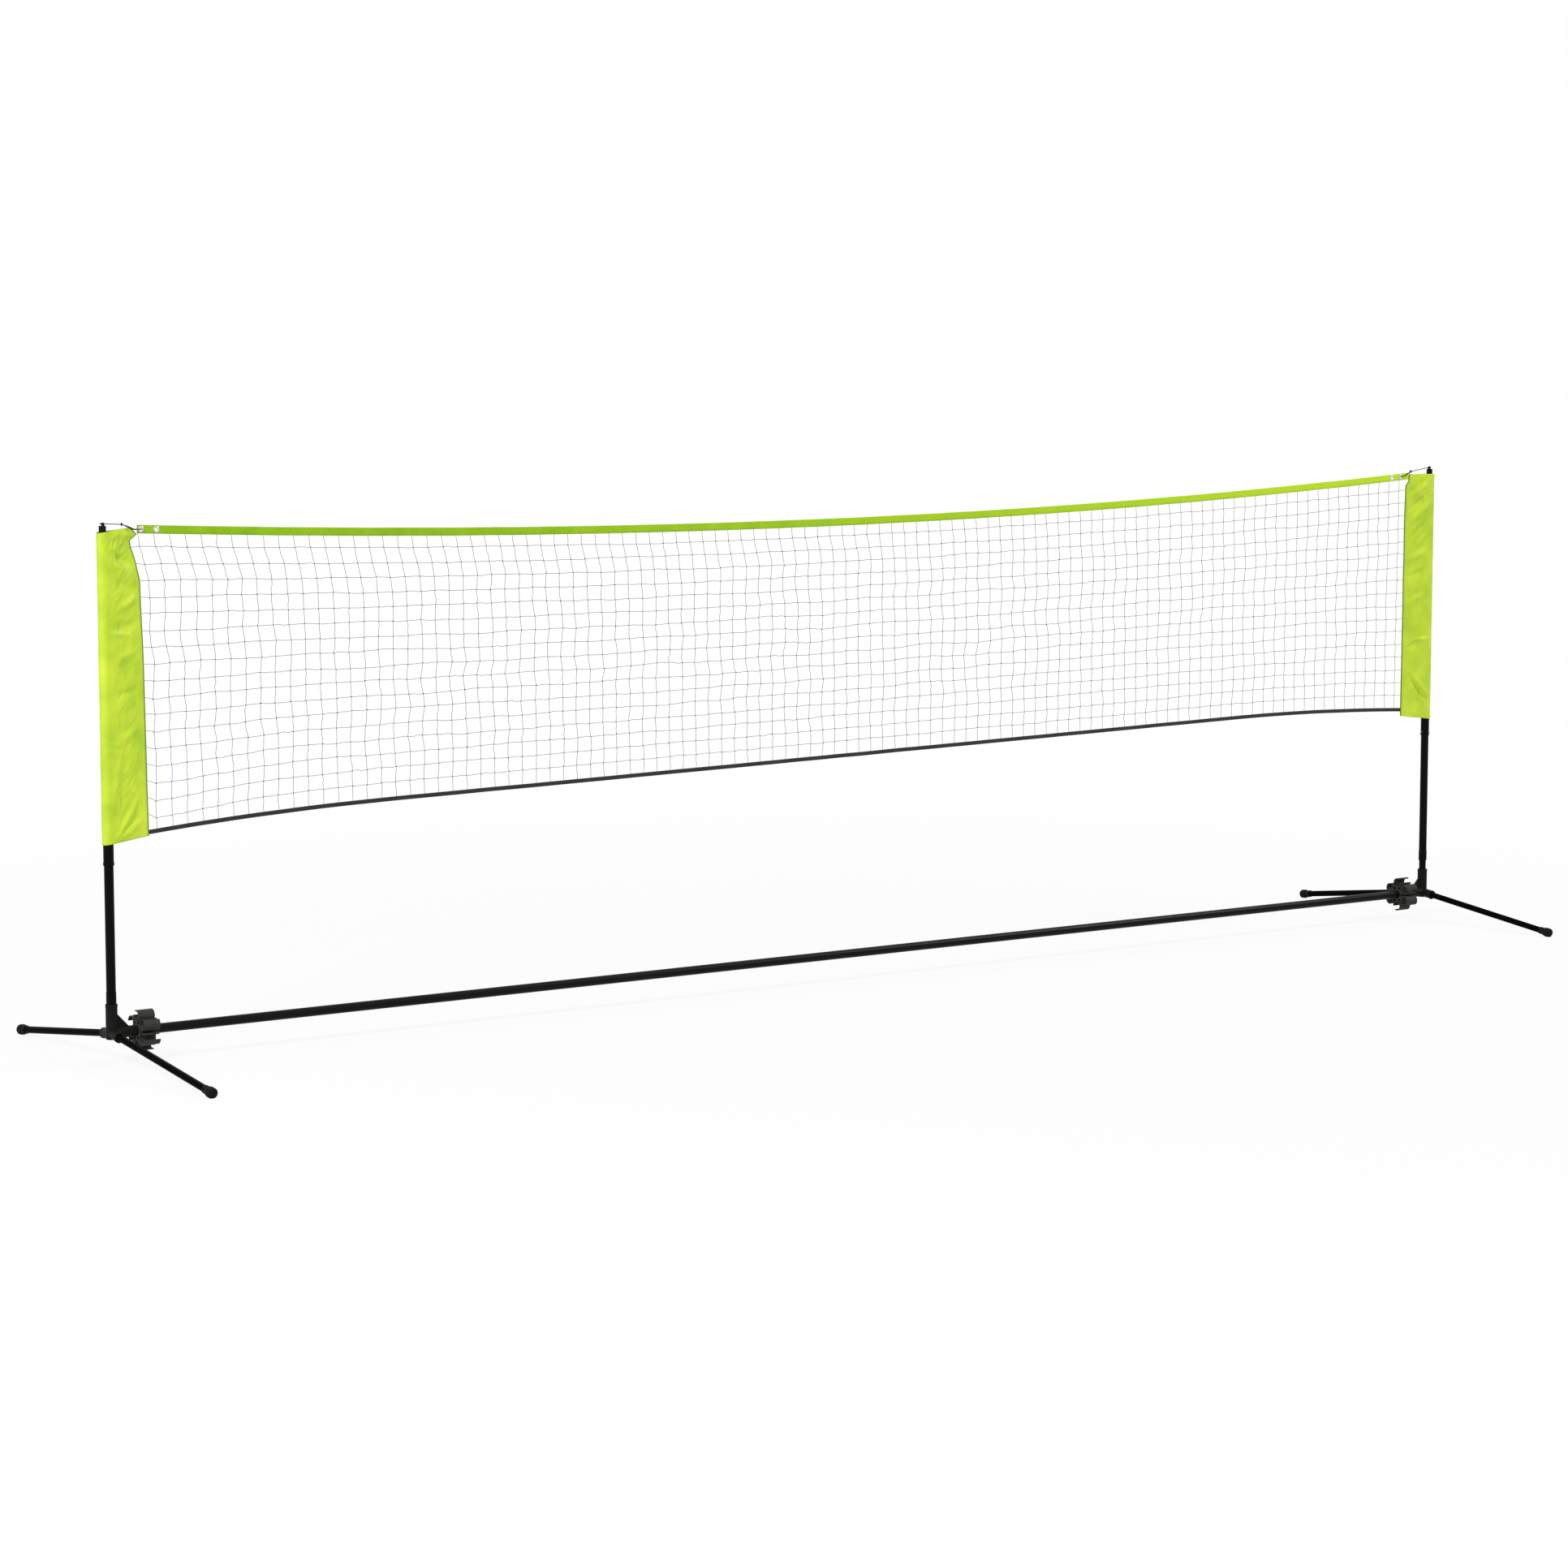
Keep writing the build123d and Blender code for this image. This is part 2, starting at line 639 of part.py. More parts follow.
# ---------------------------------------------------------------------------
# Ties: a thin cord from each pole cap to a knot, and a wire hook through the first eyelet
# ---------------------------------------------------------------------------
stopper_radius = 2.1
stopper_place = nub_start - stopper_radius - 0.2
hook_front = -6.5
hook_back = 5.0
for side in sides:
    cord_height = nub_floor(side) + nub_height - 1 - nub_crown
    eyelet = eyelet_places[side][0]
    eyelet_x = inboard(side, eyelet)
    eyelet_z = top_tape(eyelet_x)
    knot_x = knot_place[side]
    slope = cord_drop[side]
    stopper_height = cord_height - slope * (stopper_place - nub_start - nub_length / 2)
    knot_height = cord_height - slope * (knot_x - nub_start - nub_length / 2)
    with BuildPart() as tie_cord:
        with BuildLine():
            run = Line(
                (inboard(side, stopper_place), 0, stopper_height),
                (inboard(side, knot_x), 0, knot_height),
            )
        with BuildSketch(Plane(origin=run @ 0, z_dir=run % 0)):
            Circle(cord_radius)
        sweep()
    save(tie_cord, "tie_cord_" + side)
    fullness = tie_cord.part.volume / (math.pi * cord_radius ** 2 * run.length)
    print(side, "cord length", round(run.length, 1), "volume over section times length", round(fullness, 3))

    with BuildPart() as tie_knots:
        with Locations((inboard(side, stopper_place), 0, stopper_height)):
            Sphere(stopper_radius)
        with Locations((inboard(side, knot_x), 0, knot_height)):
            Sphere(knot_radius)
        add(tie_cord.part, mode=Mode.SUBTRACT)
    save(tie_knots, "tie_knots_" + side)

    with BuildPart() as tie_hook:
        with BuildLine():
            bend = FilletPolyline(
                (inboard(side, knot_x + knot_radius + 0.4), -1.2, knot_height - 0.8),
                (inboard(side, eyelet - 20), hook_front, eyelet_z + hook_rise[side]),
                (eyelet_x, hook_front, eyelet_z),
                (eyelet_x, hook_back, eyelet_z),
                radius=3.0,
            )
        with BuildSketch(Plane(origin=bend @ 0, z_dir=bend % 0)):
            Circle(hook_radius)
        sweep()
    save(tie_hook, "tie_hook_" + side)
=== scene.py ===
import math
import random
import bmesh
import bpy
import numpy as np
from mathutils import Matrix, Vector, noise


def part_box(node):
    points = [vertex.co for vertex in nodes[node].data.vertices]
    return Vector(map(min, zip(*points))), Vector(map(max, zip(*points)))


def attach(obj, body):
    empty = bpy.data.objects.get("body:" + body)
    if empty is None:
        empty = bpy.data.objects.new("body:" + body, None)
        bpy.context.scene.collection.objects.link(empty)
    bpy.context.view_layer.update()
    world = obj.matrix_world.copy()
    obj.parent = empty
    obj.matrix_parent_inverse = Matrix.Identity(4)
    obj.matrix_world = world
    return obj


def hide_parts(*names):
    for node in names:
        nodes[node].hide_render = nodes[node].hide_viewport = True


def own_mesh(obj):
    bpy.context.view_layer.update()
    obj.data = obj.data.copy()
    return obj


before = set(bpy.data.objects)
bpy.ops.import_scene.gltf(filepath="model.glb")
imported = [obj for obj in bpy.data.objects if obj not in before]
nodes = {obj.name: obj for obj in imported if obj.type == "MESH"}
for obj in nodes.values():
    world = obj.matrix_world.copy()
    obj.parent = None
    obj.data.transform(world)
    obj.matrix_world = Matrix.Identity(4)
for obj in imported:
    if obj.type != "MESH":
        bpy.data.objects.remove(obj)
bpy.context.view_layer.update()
scene = bpy.context.scene

# ---------------------------------------------------------------------------
# The studio: a pale floor under three soft lamps, the strongest at the left front, one
# at the right front and one behind. The stand runs along X, its net in the plane Y = 0.
# ---------------------------------------------------------------------------
scene.view_settings.view_transform = "Standard"


def add_object(name, data):
    """New object in the scene."""
    made = bpy.data.objects.new(name, data)
    scene.collection.objects.link(made)
    return made


look_down, look_round = 0.10598, -0.61689      # turns of the camera, in radians
camera = add_object("camera", bpy.data.cameras.new("camera"))
camera.data.lens = 86.695
camera.data.sensor_width = 36.0
camera.data.clip_end = 200.0
camera.location = (-5.6676, -7.7133, 1.5273)
camera.rotation_euler = (math.pi / 2 - look_down, 0.0, look_round)
scene.camera = camera


def add_node(tree, kind, inputs=None, **options):
    """Add a node to a tree: its inputs by name or number, each a value or a socket to link."""
    made = tree.nodes.new(kind)
    for key, value in options.items():
        setattr(made, key, value)
    for key, value in (inputs or {}).items():
        if isinstance(value, bpy.types.NodeSocket):
            tree.links.new(value, made.inputs[key])
        else:
            made.inputs[key].default_value = value
    return made


def seen_directly(tree):
    """1 for a ray from the camera, or one that a mirror-like or clear surface passes on."""
    path = add_node(tree, "ShaderNodeLightPath")
    either = add_node(tree, "ShaderNodeMath", {0: path.outputs["Is Camera Ray"],
                      1: path.outputs["Is Glossy Ray"]}, operation="MAXIMUM")
    both = add_node(tree, "ShaderNodeMath", {0: either.outputs[0],
                    1: path.outputs["Is Transmission Ray"]}, operation="MAXIMUM")
    return both.outputs[0]


white = (1.0, 1.0, 1.0, 1.0)
world = bpy.data.worlds.new("studio")
world.use_nodes = True
sky = world.node_tree
sky.nodes.clear()
light_air = add_node(sky, "ShaderNodeBackground", {"Color": white, "Strength": 0.42})
white_air = add_node(sky, "ShaderNodeBackground", {"Color": white, "Strength": 1.0})
air = add_node(sky, "ShaderNodeMixShader", {0: seen_directly(sky), 1: light_air.outputs[0],
               2: white_air.outputs[0]})
add_node(sky, "ShaderNodeOutputWorld", {"Surface": air.outputs[0]})
scene.world = world

lamp_aim = Vector((0.0, 0.0, 0.6))
for lamp_name, place, size, watts in (
    ("lamp_key", (-7.4, -3.6, 5.4), 1.8, 470.0),
    ("lamp_side", (6.4, -3.2, 6.2), 1.8, 290.0),
    ("lamp_back", (0.0, 6.0, 6.0), 4.0, 120.0),
):
    lamp = add_object(lamp_name, bpy.data.lights.new(lamp_name, "AREA"))
    lamp.data.energy = watts
    lamp.data.size = size
    lamp.location = place
    lamp.rotation_euler = (lamp_aim - Vector(place)).to_track_quat("-Z", "Y").to_euler()

floor_grey = 0.86
plain_white = 0.86          # share of plain white that the camera sees close to the stand
fade_from, fade_to = 1.6, 4.6
far = 60
floor_mesh = bpy.data.meshes.new("floor")
floor_mesh.from_pydata([(-far, -far, 0), (far, -far, 0), (far, far, 0), (-far, far, 0)], [], [(0, 1, 2, 3)])
floor = add_object("floor", floor_mesh)
floor_look = bpy.data.materials.new("floor")
floor_look.use_nodes = True
ground = floor_look.node_tree
ground.nodes.clear()
matt = add_node(ground, "ShaderNodeBsdfDiffuse", {"Color": (floor_grey, floor_grey, floor_grey, 1.0)})
glow = add_node(ground, "ShaderNodeEmission", {"Color": white, "Strength": 1.0})
away = add_node(ground, "ShaderNodeVectorMath", {0: add_node(ground, "ShaderNodeTexCoord").outputs["Object"]},
                operation="LENGTH")
fade = add_node(ground, "ShaderNodeMapRange", {"Value": away.outputs["Value"], "From Min": fade_from,
                "From Max": fade_to, "To Min": plain_white, "To Max": 1.0})
pale = add_node(ground, "ShaderNodeMixShader", {0: fade.outputs[0], 1: matt.outputs[0],
                2: glow.outputs[0]})
shown = add_node(ground, "ShaderNodeMixShader", {0: seen_directly(ground), 1: matt.outputs[0],
                 2: pale.outputs[0]})
add_node(ground, "ShaderNodeOutputMaterial", {"Surface": shown.outputs[0]})
floor.data.materials.append(floor_look)

# ---------------------------------------------------------------------------
# Base hubs: one black moulding a side, with a fine spark-eroded grain, its edges
# broken by the mould. It holds the pole's stub, the crossbar and two legs.
# ---------------------------------------------------------------------------
sides = {"left": -1, "right": 1}


def finish_of(name, colour, roughness, dark, light, scale, specular=0.5, detail=4.0):
    """New material whose colour drifts between two near shades. Returns it with its node
    tree, its shader and the socket of a place in the piece's own frame."""
    made = bpy.data.materials.new(name)
    made.use_nodes = True
    made.diffuse_color = (*colour, 1.0)
    tree = made.node_tree
    tree.nodes.clear()
    skin = add_node(tree, "ShaderNodeBsdfPrincipled", {
        "Base Color": (*colour, 1.0), "Roughness": roughness, "Specular IOR Level": specular})
    add_node(tree, "ShaderNodeOutputMaterial", {"Surface": skin.outputs[0]})
    place = add_node(tree, "ShaderNodeTexCoord").outputs["Object"]
    cloud = add_node(tree, "ShaderNodeTexNoise", {"Vector": place, "Scale": scale, "Detail": detail})
    shade = add_node(tree, "ShaderNodeMix", {0: cloud.outputs["Fac"], 6: (*dark, 1.0),
                     7: (*light, 1.0)}, data_type="RGBA")
    tree.links.new(shade.outputs[2], skin.inputs["Base Color"])
    return made, tree, skin, place


def raise_skin(tree, skin, height, distance, strength, under=None):
    """Bump on a shader from a height socket, over another normal where one is given.
    Returns the new normal's socket."""
    relief = add_node(tree, "ShaderNodeBump", {"Height": height, "Distance": distance,
                      "Strength": strength})
    if under is not None:
        tree.links.new(under, relief.inputs["Normal"])
    tree.links.new(relief.outputs[0], skin.inputs["Normal"])
    return relief.outputs[0]


def uneven(tree, skin, low, high, scale, place):
    """Roughness that varies between two values, from noise of the given scale."""
    cloud = add_node(tree, "ShaderNodeTexNoise", {"Vector": place, "Scale": scale, "Detail": 3.0})
    level = add_node(tree, "ShaderNodeMapRange", {"Value": cloud.outputs["Fac"], "From Min": 0.3,
                     "From Max": 0.7, "To Min": low, "To Max": high})
    tree.links.new(level.outputs[0], skin.inputs["Roughness"])


def moulded(name, dark, light, rough_low, rough_high, edge):
    """Black moulded plastic: fine grain, uneven sheen and softened edges."""
    made, tree, skin, place = finish_of(name, dark, rough_high, dark, light, 60.0, 0.055)
    uneven(tree, skin, rough_low, rough_high, 90.0, place)
    soft = add_node(tree, "ShaderNodeBevel", {"Radius": edge}, samples=4)
    grain = add_node(tree, "ShaderNodeTexNoise", {"Vector": place, "Scale": 1400.0, "Detail": 3.0})
    raise_skin(tree, skin, grain.outputs["Fac"], 0.00012, 0.35, soft.outputs[0])
    return made


def coat_node(name, look):
    """Give a kept CAD node its finish."""
    for holder in nodes[name].material_slots:
        holder.material = look


hub_look = moulded("hub_plastic", (0.0045, 0.0045, 0.004), (0.0125, 0.0125, 0.011), 0.38, 0.56, 0.0009)
for side in sides:
    coat_node("base_hub_" + side, hub_look)

# ---------------------------------------------------------------------------
# Tubes of the crossbar, the legs and the poles: thin steel tube with a satin black
# powder coat, slightly orange-peeled, rubbed along its length where tubes slide.
# ---------------------------------------------------------------------------


def powder_coat(name, dark, light, rough_low, rough_high, run_scale, shine=0.07):
    """Black powder coat with faint rub marks stretched along the tube's own axis."""
    made, tree, skin, place = finish_of(name, dark, rough_high, dark, light, 25.0, shine)
    uneven(tree, skin, rough_low, rough_high, 40.0, place)
    peel = add_node(tree, "ShaderNodeTexNoise", {"Vector": place, "Scale": 520.0, "Detail": 2.0})
    drawn = add_node(tree, "ShaderNodeMapping", {"Vector": place, "Scale": run_scale})
    rub = add_node(tree, "ShaderNodeTexNoise", {"Vector": drawn.outputs[0], "Scale": 900.0, "Detail": 2.0})
    marks = add_node(tree, "ShaderNodeMath", {0: rub.outputs["Fac"], 1: 0.35}, operation="MULTIPLY")
    skin_height = add_node(tree, "ShaderNodeMath", {0: peel.outputs["Fac"], 1: marks.outputs[0]},
                           operation="ADD")
    raise_skin(tree, skin, skin_height.outputs[0], 0.00006, 0.45)
    return made


rub_stretch = 0.02
bar_look = powder_coat("crossbar_coat", (0.0032, 0.0032, 0.0028), (0.0062, 0.0062, 0.0054), 0.26, 0.36,
                       (rub_stretch, 1.0, 1.0))
leg_look = powder_coat("leg_coat", (0.0018, 0.0018, 0.0016), (0.0036, 0.0036, 0.0031), 0.16, 0.22,
                       (1.0, rub_stretch, 1.0), 0.003)
pole_look = powder_coat("pole_coat", (0.0018, 0.0020, 0.0016), (0.0040, 0.0042, 0.0035), 0.26, 0.36,
                        (1.0, 1.0, rub_stretch), 0.045)
for number in range(1, 5):
    coat_node("crossbar_tube_" + str(number), bar_look)
for side in sides:
    for row in ("front", "rear"):
        coat_node("leg_tube_" + row + "_" + side, leg_look)
    for tube in ("pole_stub_", "lower_pole_", "upper_pole_"):
        coat_node(tube + side, pole_look)

# ---------------------------------------------------------------------------
# Snap buttons and their springs: a blackened steel pin pushed out through the tube
# walls by a bent strip of spring steel.
# ---------------------------------------------------------------------------
steel_look, steel_tree, steel_skin, steel_place = finish_of(
    "blackened_steel", (0.05, 0.05, 0.052), 0.34, (0.035, 0.035, 0.037), (0.10, 0.10, 0.10), 900.0)
steel_skin.inputs["Metallic"].default_value = 1.0
uneven(steel_tree, steel_skin, 0.26, 0.42, 700.0, steel_place)
merge_gap = 0.00001
for side in sides:
    coat_node("snap_button_" + side, steel_look)
    coat_node("button_spring_" + side, steel_look)
    # A copy of the strip, its doubled points merged, rides on the base in place of the CAD strip.
    strip = add_object("leaf_spring_" + side, nodes["button_spring_" + side].data.copy())
    shell = bmesh.new()
    shell.from_mesh(strip.data)
    bmesh.ops.remove_doubles(shell, verts=shell.verts, dist=merge_gap)
    shell.to_mesh(strip.data)
    shell.free()
    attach(strip, "base")
    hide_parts("button_spring_" + side)
    far_wall, button_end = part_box("button_spring_" + side)
    if side == "right":
        far_wall, button_end = button_end, far_wall
    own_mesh(strip)

# ---------------------------------------------------------------------------
# Feet, pole caps and storage clips: soft black rubber feet, hard black caps, and
# clips in a dull grey-black plastic that is a little lighter than the hubs. The feet
# and caps are pushed on over the tubes, and the clips turn on the crossbar.
# ---------------------------------------------------------------------------
rubber_look = moulded("foot_rubber", (0.0040, 0.0040, 0.0038), (0.0110, 0.0105, 0.010), 0.6, 0.82, 0.0012)
cap_look = moulded("cap_plastic", (0.0050, 0.0050, 0.0052), (0.0125, 0.0125, 0.0125), 0.36, 0.5, 0.0007)
clip_look = moulded("clip_plastic", (0.030, 0.031, 0.027), (0.052, 0.053, 0.047), 0.42, 0.6, 0.0007)
for side in sides:
    for row in ("front", "rear"):
        coat_node("foot_cap_" + row + "_" + side, rubber_look)
    coat_node("pole_cap_" + side, cap_look)
    coat_node("storage_clip_" + side, clip_look)

# ---------------------------------------------------------------------------
# Pole sleeves: bright green coated nylon, folded round the pole and sewn to itself
# along its inner edge, with hems at top and bottom. It creases where the pole pulls.
# ---------------------------------------------------------------------------
half_span = 2.05            # from the middle of the net to each pole's axis
crown = {side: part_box("upper_pole_" + side)[1].z + 0.002 for side in sides}     # top of each sleeve
sleeve_height = 0.697
pocket = 0.0137             # middle of the cloth, from the pole's axis
cloth = 0.0005              # thickness of one layer
seam_width = 0.007
seam_half = 0.0008          # half the thickness of the two layers sewn together
top_hem, low_hem = 0.018, 0.010
hem_lift = 0.00035          # that a hem's turned-in layer raises the cloth
sink_most, layers_apart = 0.0003, 0.0003
fade_seam, fade_pole, fade_hem = 0.018, 0.025, 0.02     # widths over which the creases die away
sway_most = 0.0024

# Distance of each inner edge from the pole at drops below the top, in millimetres.
sleeve_reach = {
    "left": ((-12, 63.5), (2, 77), (6.5, 81.5), (10, 77), (18, 66), (24, 65), (34, 67), (64, 77),
             (110, 88), (300, 94), (725, 99)),
    "right": ((-12, 70), (-2, 76), (3, 80.5), (16, 81.5), (21, 82), (26, 87), (33, 93), (110, 94.5),
              (300, 96.5), (725, 99)),
}
top_lean = {"left": math.tan(math.radians(7.6)), "right": 0.0}
hem_lean = math.tan(math.radians(6.8))

# Creases of each sleeve's front and back: where each starts and ends, as its distance
# from the pole and its drop below the top in millimetres, its half width and its height.
# The gains turn these heights into those of the finished folds.
crease_gain = {"left": 3.4, "right": 4.6}
creases = {
    ("left", "front"): (
        (2, 34, 12, 6, 3.0, 0.5), (12, 46, 20, 8, 3.5, 0.6), (24, 42, 30, 10, 3.0, 0.5),
        (-4, 50, 72, 106, 9, 1.5), (8, 40, 84, 86, 7, -1.0), (14, 100, 90, 142, 10, -1.1),
        (30, 175, 90, 140, 8, 1.2), (-6, 222, 60, 232, 6, 0.9), (8, 215, 92, 205, 9, -0.8),
        (-2, 300, 84, 262, 11, 0.9), (0, 372, 90, 350, 9, -0.8), (-6, 470, 30, 478, 5, 0.9),
        (26, 470, 92, 430, 9, 0.9), (30, 500, 4, 620, 8, 1.0), (6, 700, 70, 606, 7, 1.5),
        (8, 702, 92, 640, 8, 1.1), (0, 690, 40, 560, 7, -0.9), (60, 520, 96, 560, 8, -0.7),
    ),
    ("right", "front"): (
        (10, 20, 92, 76, 8, 1.5), (-6, 46, 84, 104, 9, -1.1), (-8, 66, 90, 150, 8, 1.3),
        (-6, 110, 84, 190, 8, -0.9), (-8, 136, 60, 214, 6, 1.0), (-8, 205, 92, 250, 9, 0.9),
        (-6, 262, 92, 296, 8, -0.7), (0, 330, 92, 372, 9, 0.8), (-8, 466, 50, 470, 5, 1.0),
        (30, 470, 95, 500, 7, -0.8), (66, 572, -8, 668, 6, -1.9), (72, 560, 0, 640, 8, 1.4),
        (-4, 560, 40, 690, 9, 0.9), (80, 640, 96, 700, 8, 0.7),
    ),
    ("left", "back"): (
        (4, 30, 16, 6, 3.0, 0.5), (0, 50, 80, 110, 9, 1.2), (10, 120, 92, 90, 9, 0.9),
        (-4, 190, 88, 236, 9, -0.9), (0, 300, 80, 330, 8, 0.9), (20, 420, 92, 380, 9, 0.8),
        (0, 500, 60, 560, 8, -0.9), (8, 700, 88, 620, 8, 1.2),
    ),
    ("right", "back"): (
        (6, 24, 90, 90, 9, 1.2), (-4, 90, 88, 150, 9, -0.9), (0, 200, 84, 180, 8, 0.9),
        (0, 290, 92, 320, 9, 0.8), (10, 420, 92, 450, 8, -0.8), (0, 540, 70, 610, 8, 1.1),
        (0, 690, 80, 600, 8, 0.9),
    ),
}
# Heights in millimetres of waves, wrinkles, the top hem's gathers and sharp crinkles.
wave_high, wrinkle_high, gather_high, crinkle_high = 2.2, 0.36, 1.5, 0.85


def inner_edge(side, drop):
    """Distance of a sleeve's inner edge from the pole at a drop below its top, in metres."""
    drops, reaches = zip(*sleeve_reach[side])
    return float(np.interp(drop * 1000, drops, reaches)) / 1000


def crease_height(side, face, out, drop):
    """How far the creases lift the cloth at a place on a sleeve, in metres."""
    lift = 0.0
    x, z = out * 1000, drop * 1000
    for x0, z0, x1, z1, wide, high in creases[(side, face)]:
        dx, dz = x1 - x0, z1 - z0
        long = math.hypot(dx, dz)
        t = ((x - x0) * dx + (z - z0) * dz) / long ** 2
        if t < -0.25 or t > 1.25:
            continue
        off = ((x - x0) * dz - (z - z0) * dx) / long / wide
        fade = math.exp(-max(0.0, -t, t - 1) ** 2 / 0.01) * math.sin(math.pi * min(max(t, 0.08), 0.92))
        lift += high * fade * (math.exp(-off * off) - 0.45 * math.exp(-((off - 1.5) ** 2)))
    front = face == "front"
    wave = noise.noise(Vector((x * 0.035, z * 0.022, (7.0 if front else 31.0) + 60.0 * sides[side])))
    wrinkle = noise.noise(Vector((x * 0.16, z * 0.11, 3.0 if front else 17.0)))
    gather = noise.noise(Vector((x * 0.20, z * 0.07, 90.0 if front else 120.0)))
    at_hem = math.exp(-((z - 18) / 11) ** 2)
    # A crinkle peaks where its noise passes through nought, and is higher near the top.
    slant = -0.6 * sides[side]
    ridge = noise.noise(Vector((x * 0.055 + z * slant * 0.05, z * 0.026, 150.0 if front else 170.0)))
    crinkle = 1.0 - min(1.0, abs(ridge) * 3.2)
    near_top = 1.0 + 1.1 * math.exp(-(z / 130) ** 2)
    return (crease_gain[side] * lift + wave_high * wave + wrinkle_high * wrinkle +
            gather_high * at_hem * gather + crinkle_high * near_top * crinkle) / 1000


def sleeve_place(side, around, down):
    """Place on a sleeve's cloth before it creases. around runs 0 to 1 from the seam, round
    the pole and back to the seam, and down runs 0 to 1 from the top to the bottom hem."""
    share = 2 * min(around, 1 - around)
    out, drop = 0.05, down * sleeve_height
    # Both hems slant, so the drop changes with the distance out: five rounds settle them.
    for _ in range(5):
        reach = inner_edge(side, drop)
        lean = math.asin((pocket - seam_half) / (reach - seam_width))
        flank = (reach - seam_width - pocket * math.sin(lean)) / math.cos(lean)
        arc = pocket * (math.pi / 2 + lean)
        along = share * (seam_width + flank + arc)
        if along < seam_width:
            out, rise, tilt = reach - along, seam_half, 0.0
        elif along < seam_width + flank:
            gone = along - seam_width
            out = reach - seam_width - gone * math.cos(lean)
            rise, tilt = seam_half + gone * math.sin(lean), lean
        else:
            tilt = lean - (along - seam_width - flank) / pocket
            out, rise = pocket * math.sin(tilt), pocket * math.cos(tilt)
        top = -out * top_lean[side]
        bottom = sleeve_height - out * hem_lean
        drop = top + (bottom - top) * down
    return out, rise, tilt, drop, reach


def sway(side, out, drop):
    """Gentle wave of both layers together, none at the pole, in metres."""
    free = min(1.0, max(0.0, (out - 0.012) / 0.05))
    return noise.noise(Vector((out * 13.0, drop * 8.0, 5.0 * sides[side]))) * sway_most * free


def sleeve_surface(side, around, down):
    """Place on a sleeve's outer face with its creases, hems and wave."""
    out, rise, tilt, drop, reach = sleeve_place(side, around, down)
    face = "front" if around <= 0.5 else "back"
    from_seam = min(1.0, max(0.0, (reach - seam_width - out) / fade_seam))
    from_pole = min(1.0, max(0.0, (out - 0.004) / fade_pole))
    from_ends = min(1.0, 0.25 + min(down, 1 - down) * sleeve_height / fade_hem)
    lift = crease_height(side, face, out, drop) * from_seam * from_ends * (0.25 + 0.75 * from_pole)
    if from_pole < 1.0:
        lift = max(lift, -sink_most)
    lift = max(lift, layers_apart - 0.8 * rise)
    gone = down * sleeve_height
    if gone < top_hem or sleeve_height - gone < low_hem:
        lift += hem_lift
    way = -1.0 if face == "front" else 1.0
    return Vector((
        sides[side] * (half_span - out - lift * math.sin(tilt)),
        way * (rise + lift * math.cos(tilt)) + sway(side, out, drop),
        crown[side] - drop,
    ))


def nylon(name, dark, light, specular):
    """Coated plain-weave nylon, its threads following the cloth's own map."""
    made, tree, skin, place = finish_of(name, light, 0.5, dark, light, 14.0, specular, 5.0)
    weave_map = add_node(tree, "ShaderNodeUVMap", uv_map="cloth").outputs[0]
    uneven(tree, skin, 0.36, 0.52, 30.0, place)
    warp, weft = [add_node(tree, "ShaderNodeTexWave", {"Vector": weave_map, "Scale": 520.0},
                           bands_direction=way) for way in ("X", "Y")]
    weave = add_node(tree, "ShaderNodeMath", {0: warp.outputs["Fac"], 1: weft.outputs["Fac"]},
                     operation="MULTIPLY")
    crumple = add_node(tree, "ShaderNodeTexNoise", {"Vector": place, "Scale": 70.0, "Detail": 5.0})
    rough = raise_skin(tree, skin, crumple.outputs["Fac"], 0.0016, 0.5)
    raise_skin(tree, skin, weave.outputs[0], 0.00012, 0.5, rough)
    skin.inputs["Sheen Weight"].default_value = 0.05
    return made, tree, skin, place


# The green drifts widely between a dark and a pale shade: partly the cloth's own uneven tone, partly painted
# shade and light standing in for the shading of its creases.
sleeve_look = nylon("green_nylon", (0.24, 0.50, 0.004), (0.78, 0.88, 0.050), 0.3)[0]
binding_look = finish_of("green_binding", (0.11, 0.24, 0.02), 0.7, (0.045, 0.13, 0.015),
                         (0.11, 0.24, 0.03), 500.0)[0]
thread_look = finish_of("green_thread", (0.20, 0.40, 0.02), 0.65, (0.13, 0.28, 0.012),
                        (0.28, 0.50, 0.03), 700.0)[0]


def grid_faces(rows, columns, base=0, rows_close=True, columns_close=True):
    """Four-sided faces between the points of a grid, numbered along its rows from a base."""
    faces = []
    for i in range(rows if rows_close else rows - 1):
        for j in range(columns if columns_close else columns - 1):
            here, ahead, k = base + i * columns, base + (i + 1) % rows * columns, (j + 1) % columns
            faces.append((here + j, here + k, ahead + k, ahead + j))
    return faces


def make_piece(name, verts, faces, look):
    """Smooth mesh object at the origin with one material, its faces turned outwards."""
    mesh = bpy.data.meshes.new(name)
    mesh.from_pydata([tuple(v) for v in verts], [], faces)
    shell = bmesh.new()
    shell.from_mesh(mesh)
    bmesh.ops.recalc_face_normals(shell, faces=shell.faces)
    shell.to_mesh(mesh)
    shell.free()
    for face in mesh.polygons:
        face.use_smooth = True
    mesh.materials.append(look)
    return add_object(name, mesh)


def grid_sheet(name, rows, columns, point, closed, look, mapping):
    """Cloth from a grid of points, with its own map in metres, as a mesh object."""
    verts = [point(i, j) for i in range(rows) for j in range(columns)]
    piece = make_piece(name, verts, grid_faces(rows, columns, 0, False, closed), look)
    layer = piece.data.uv_layers.new(name="cloth")
    for loop in piece.data.loops:
        i, j = divmod(loop.vertex_index, columns)
        layer.data[loop.index].uv = mapping(i, j)
    return piece


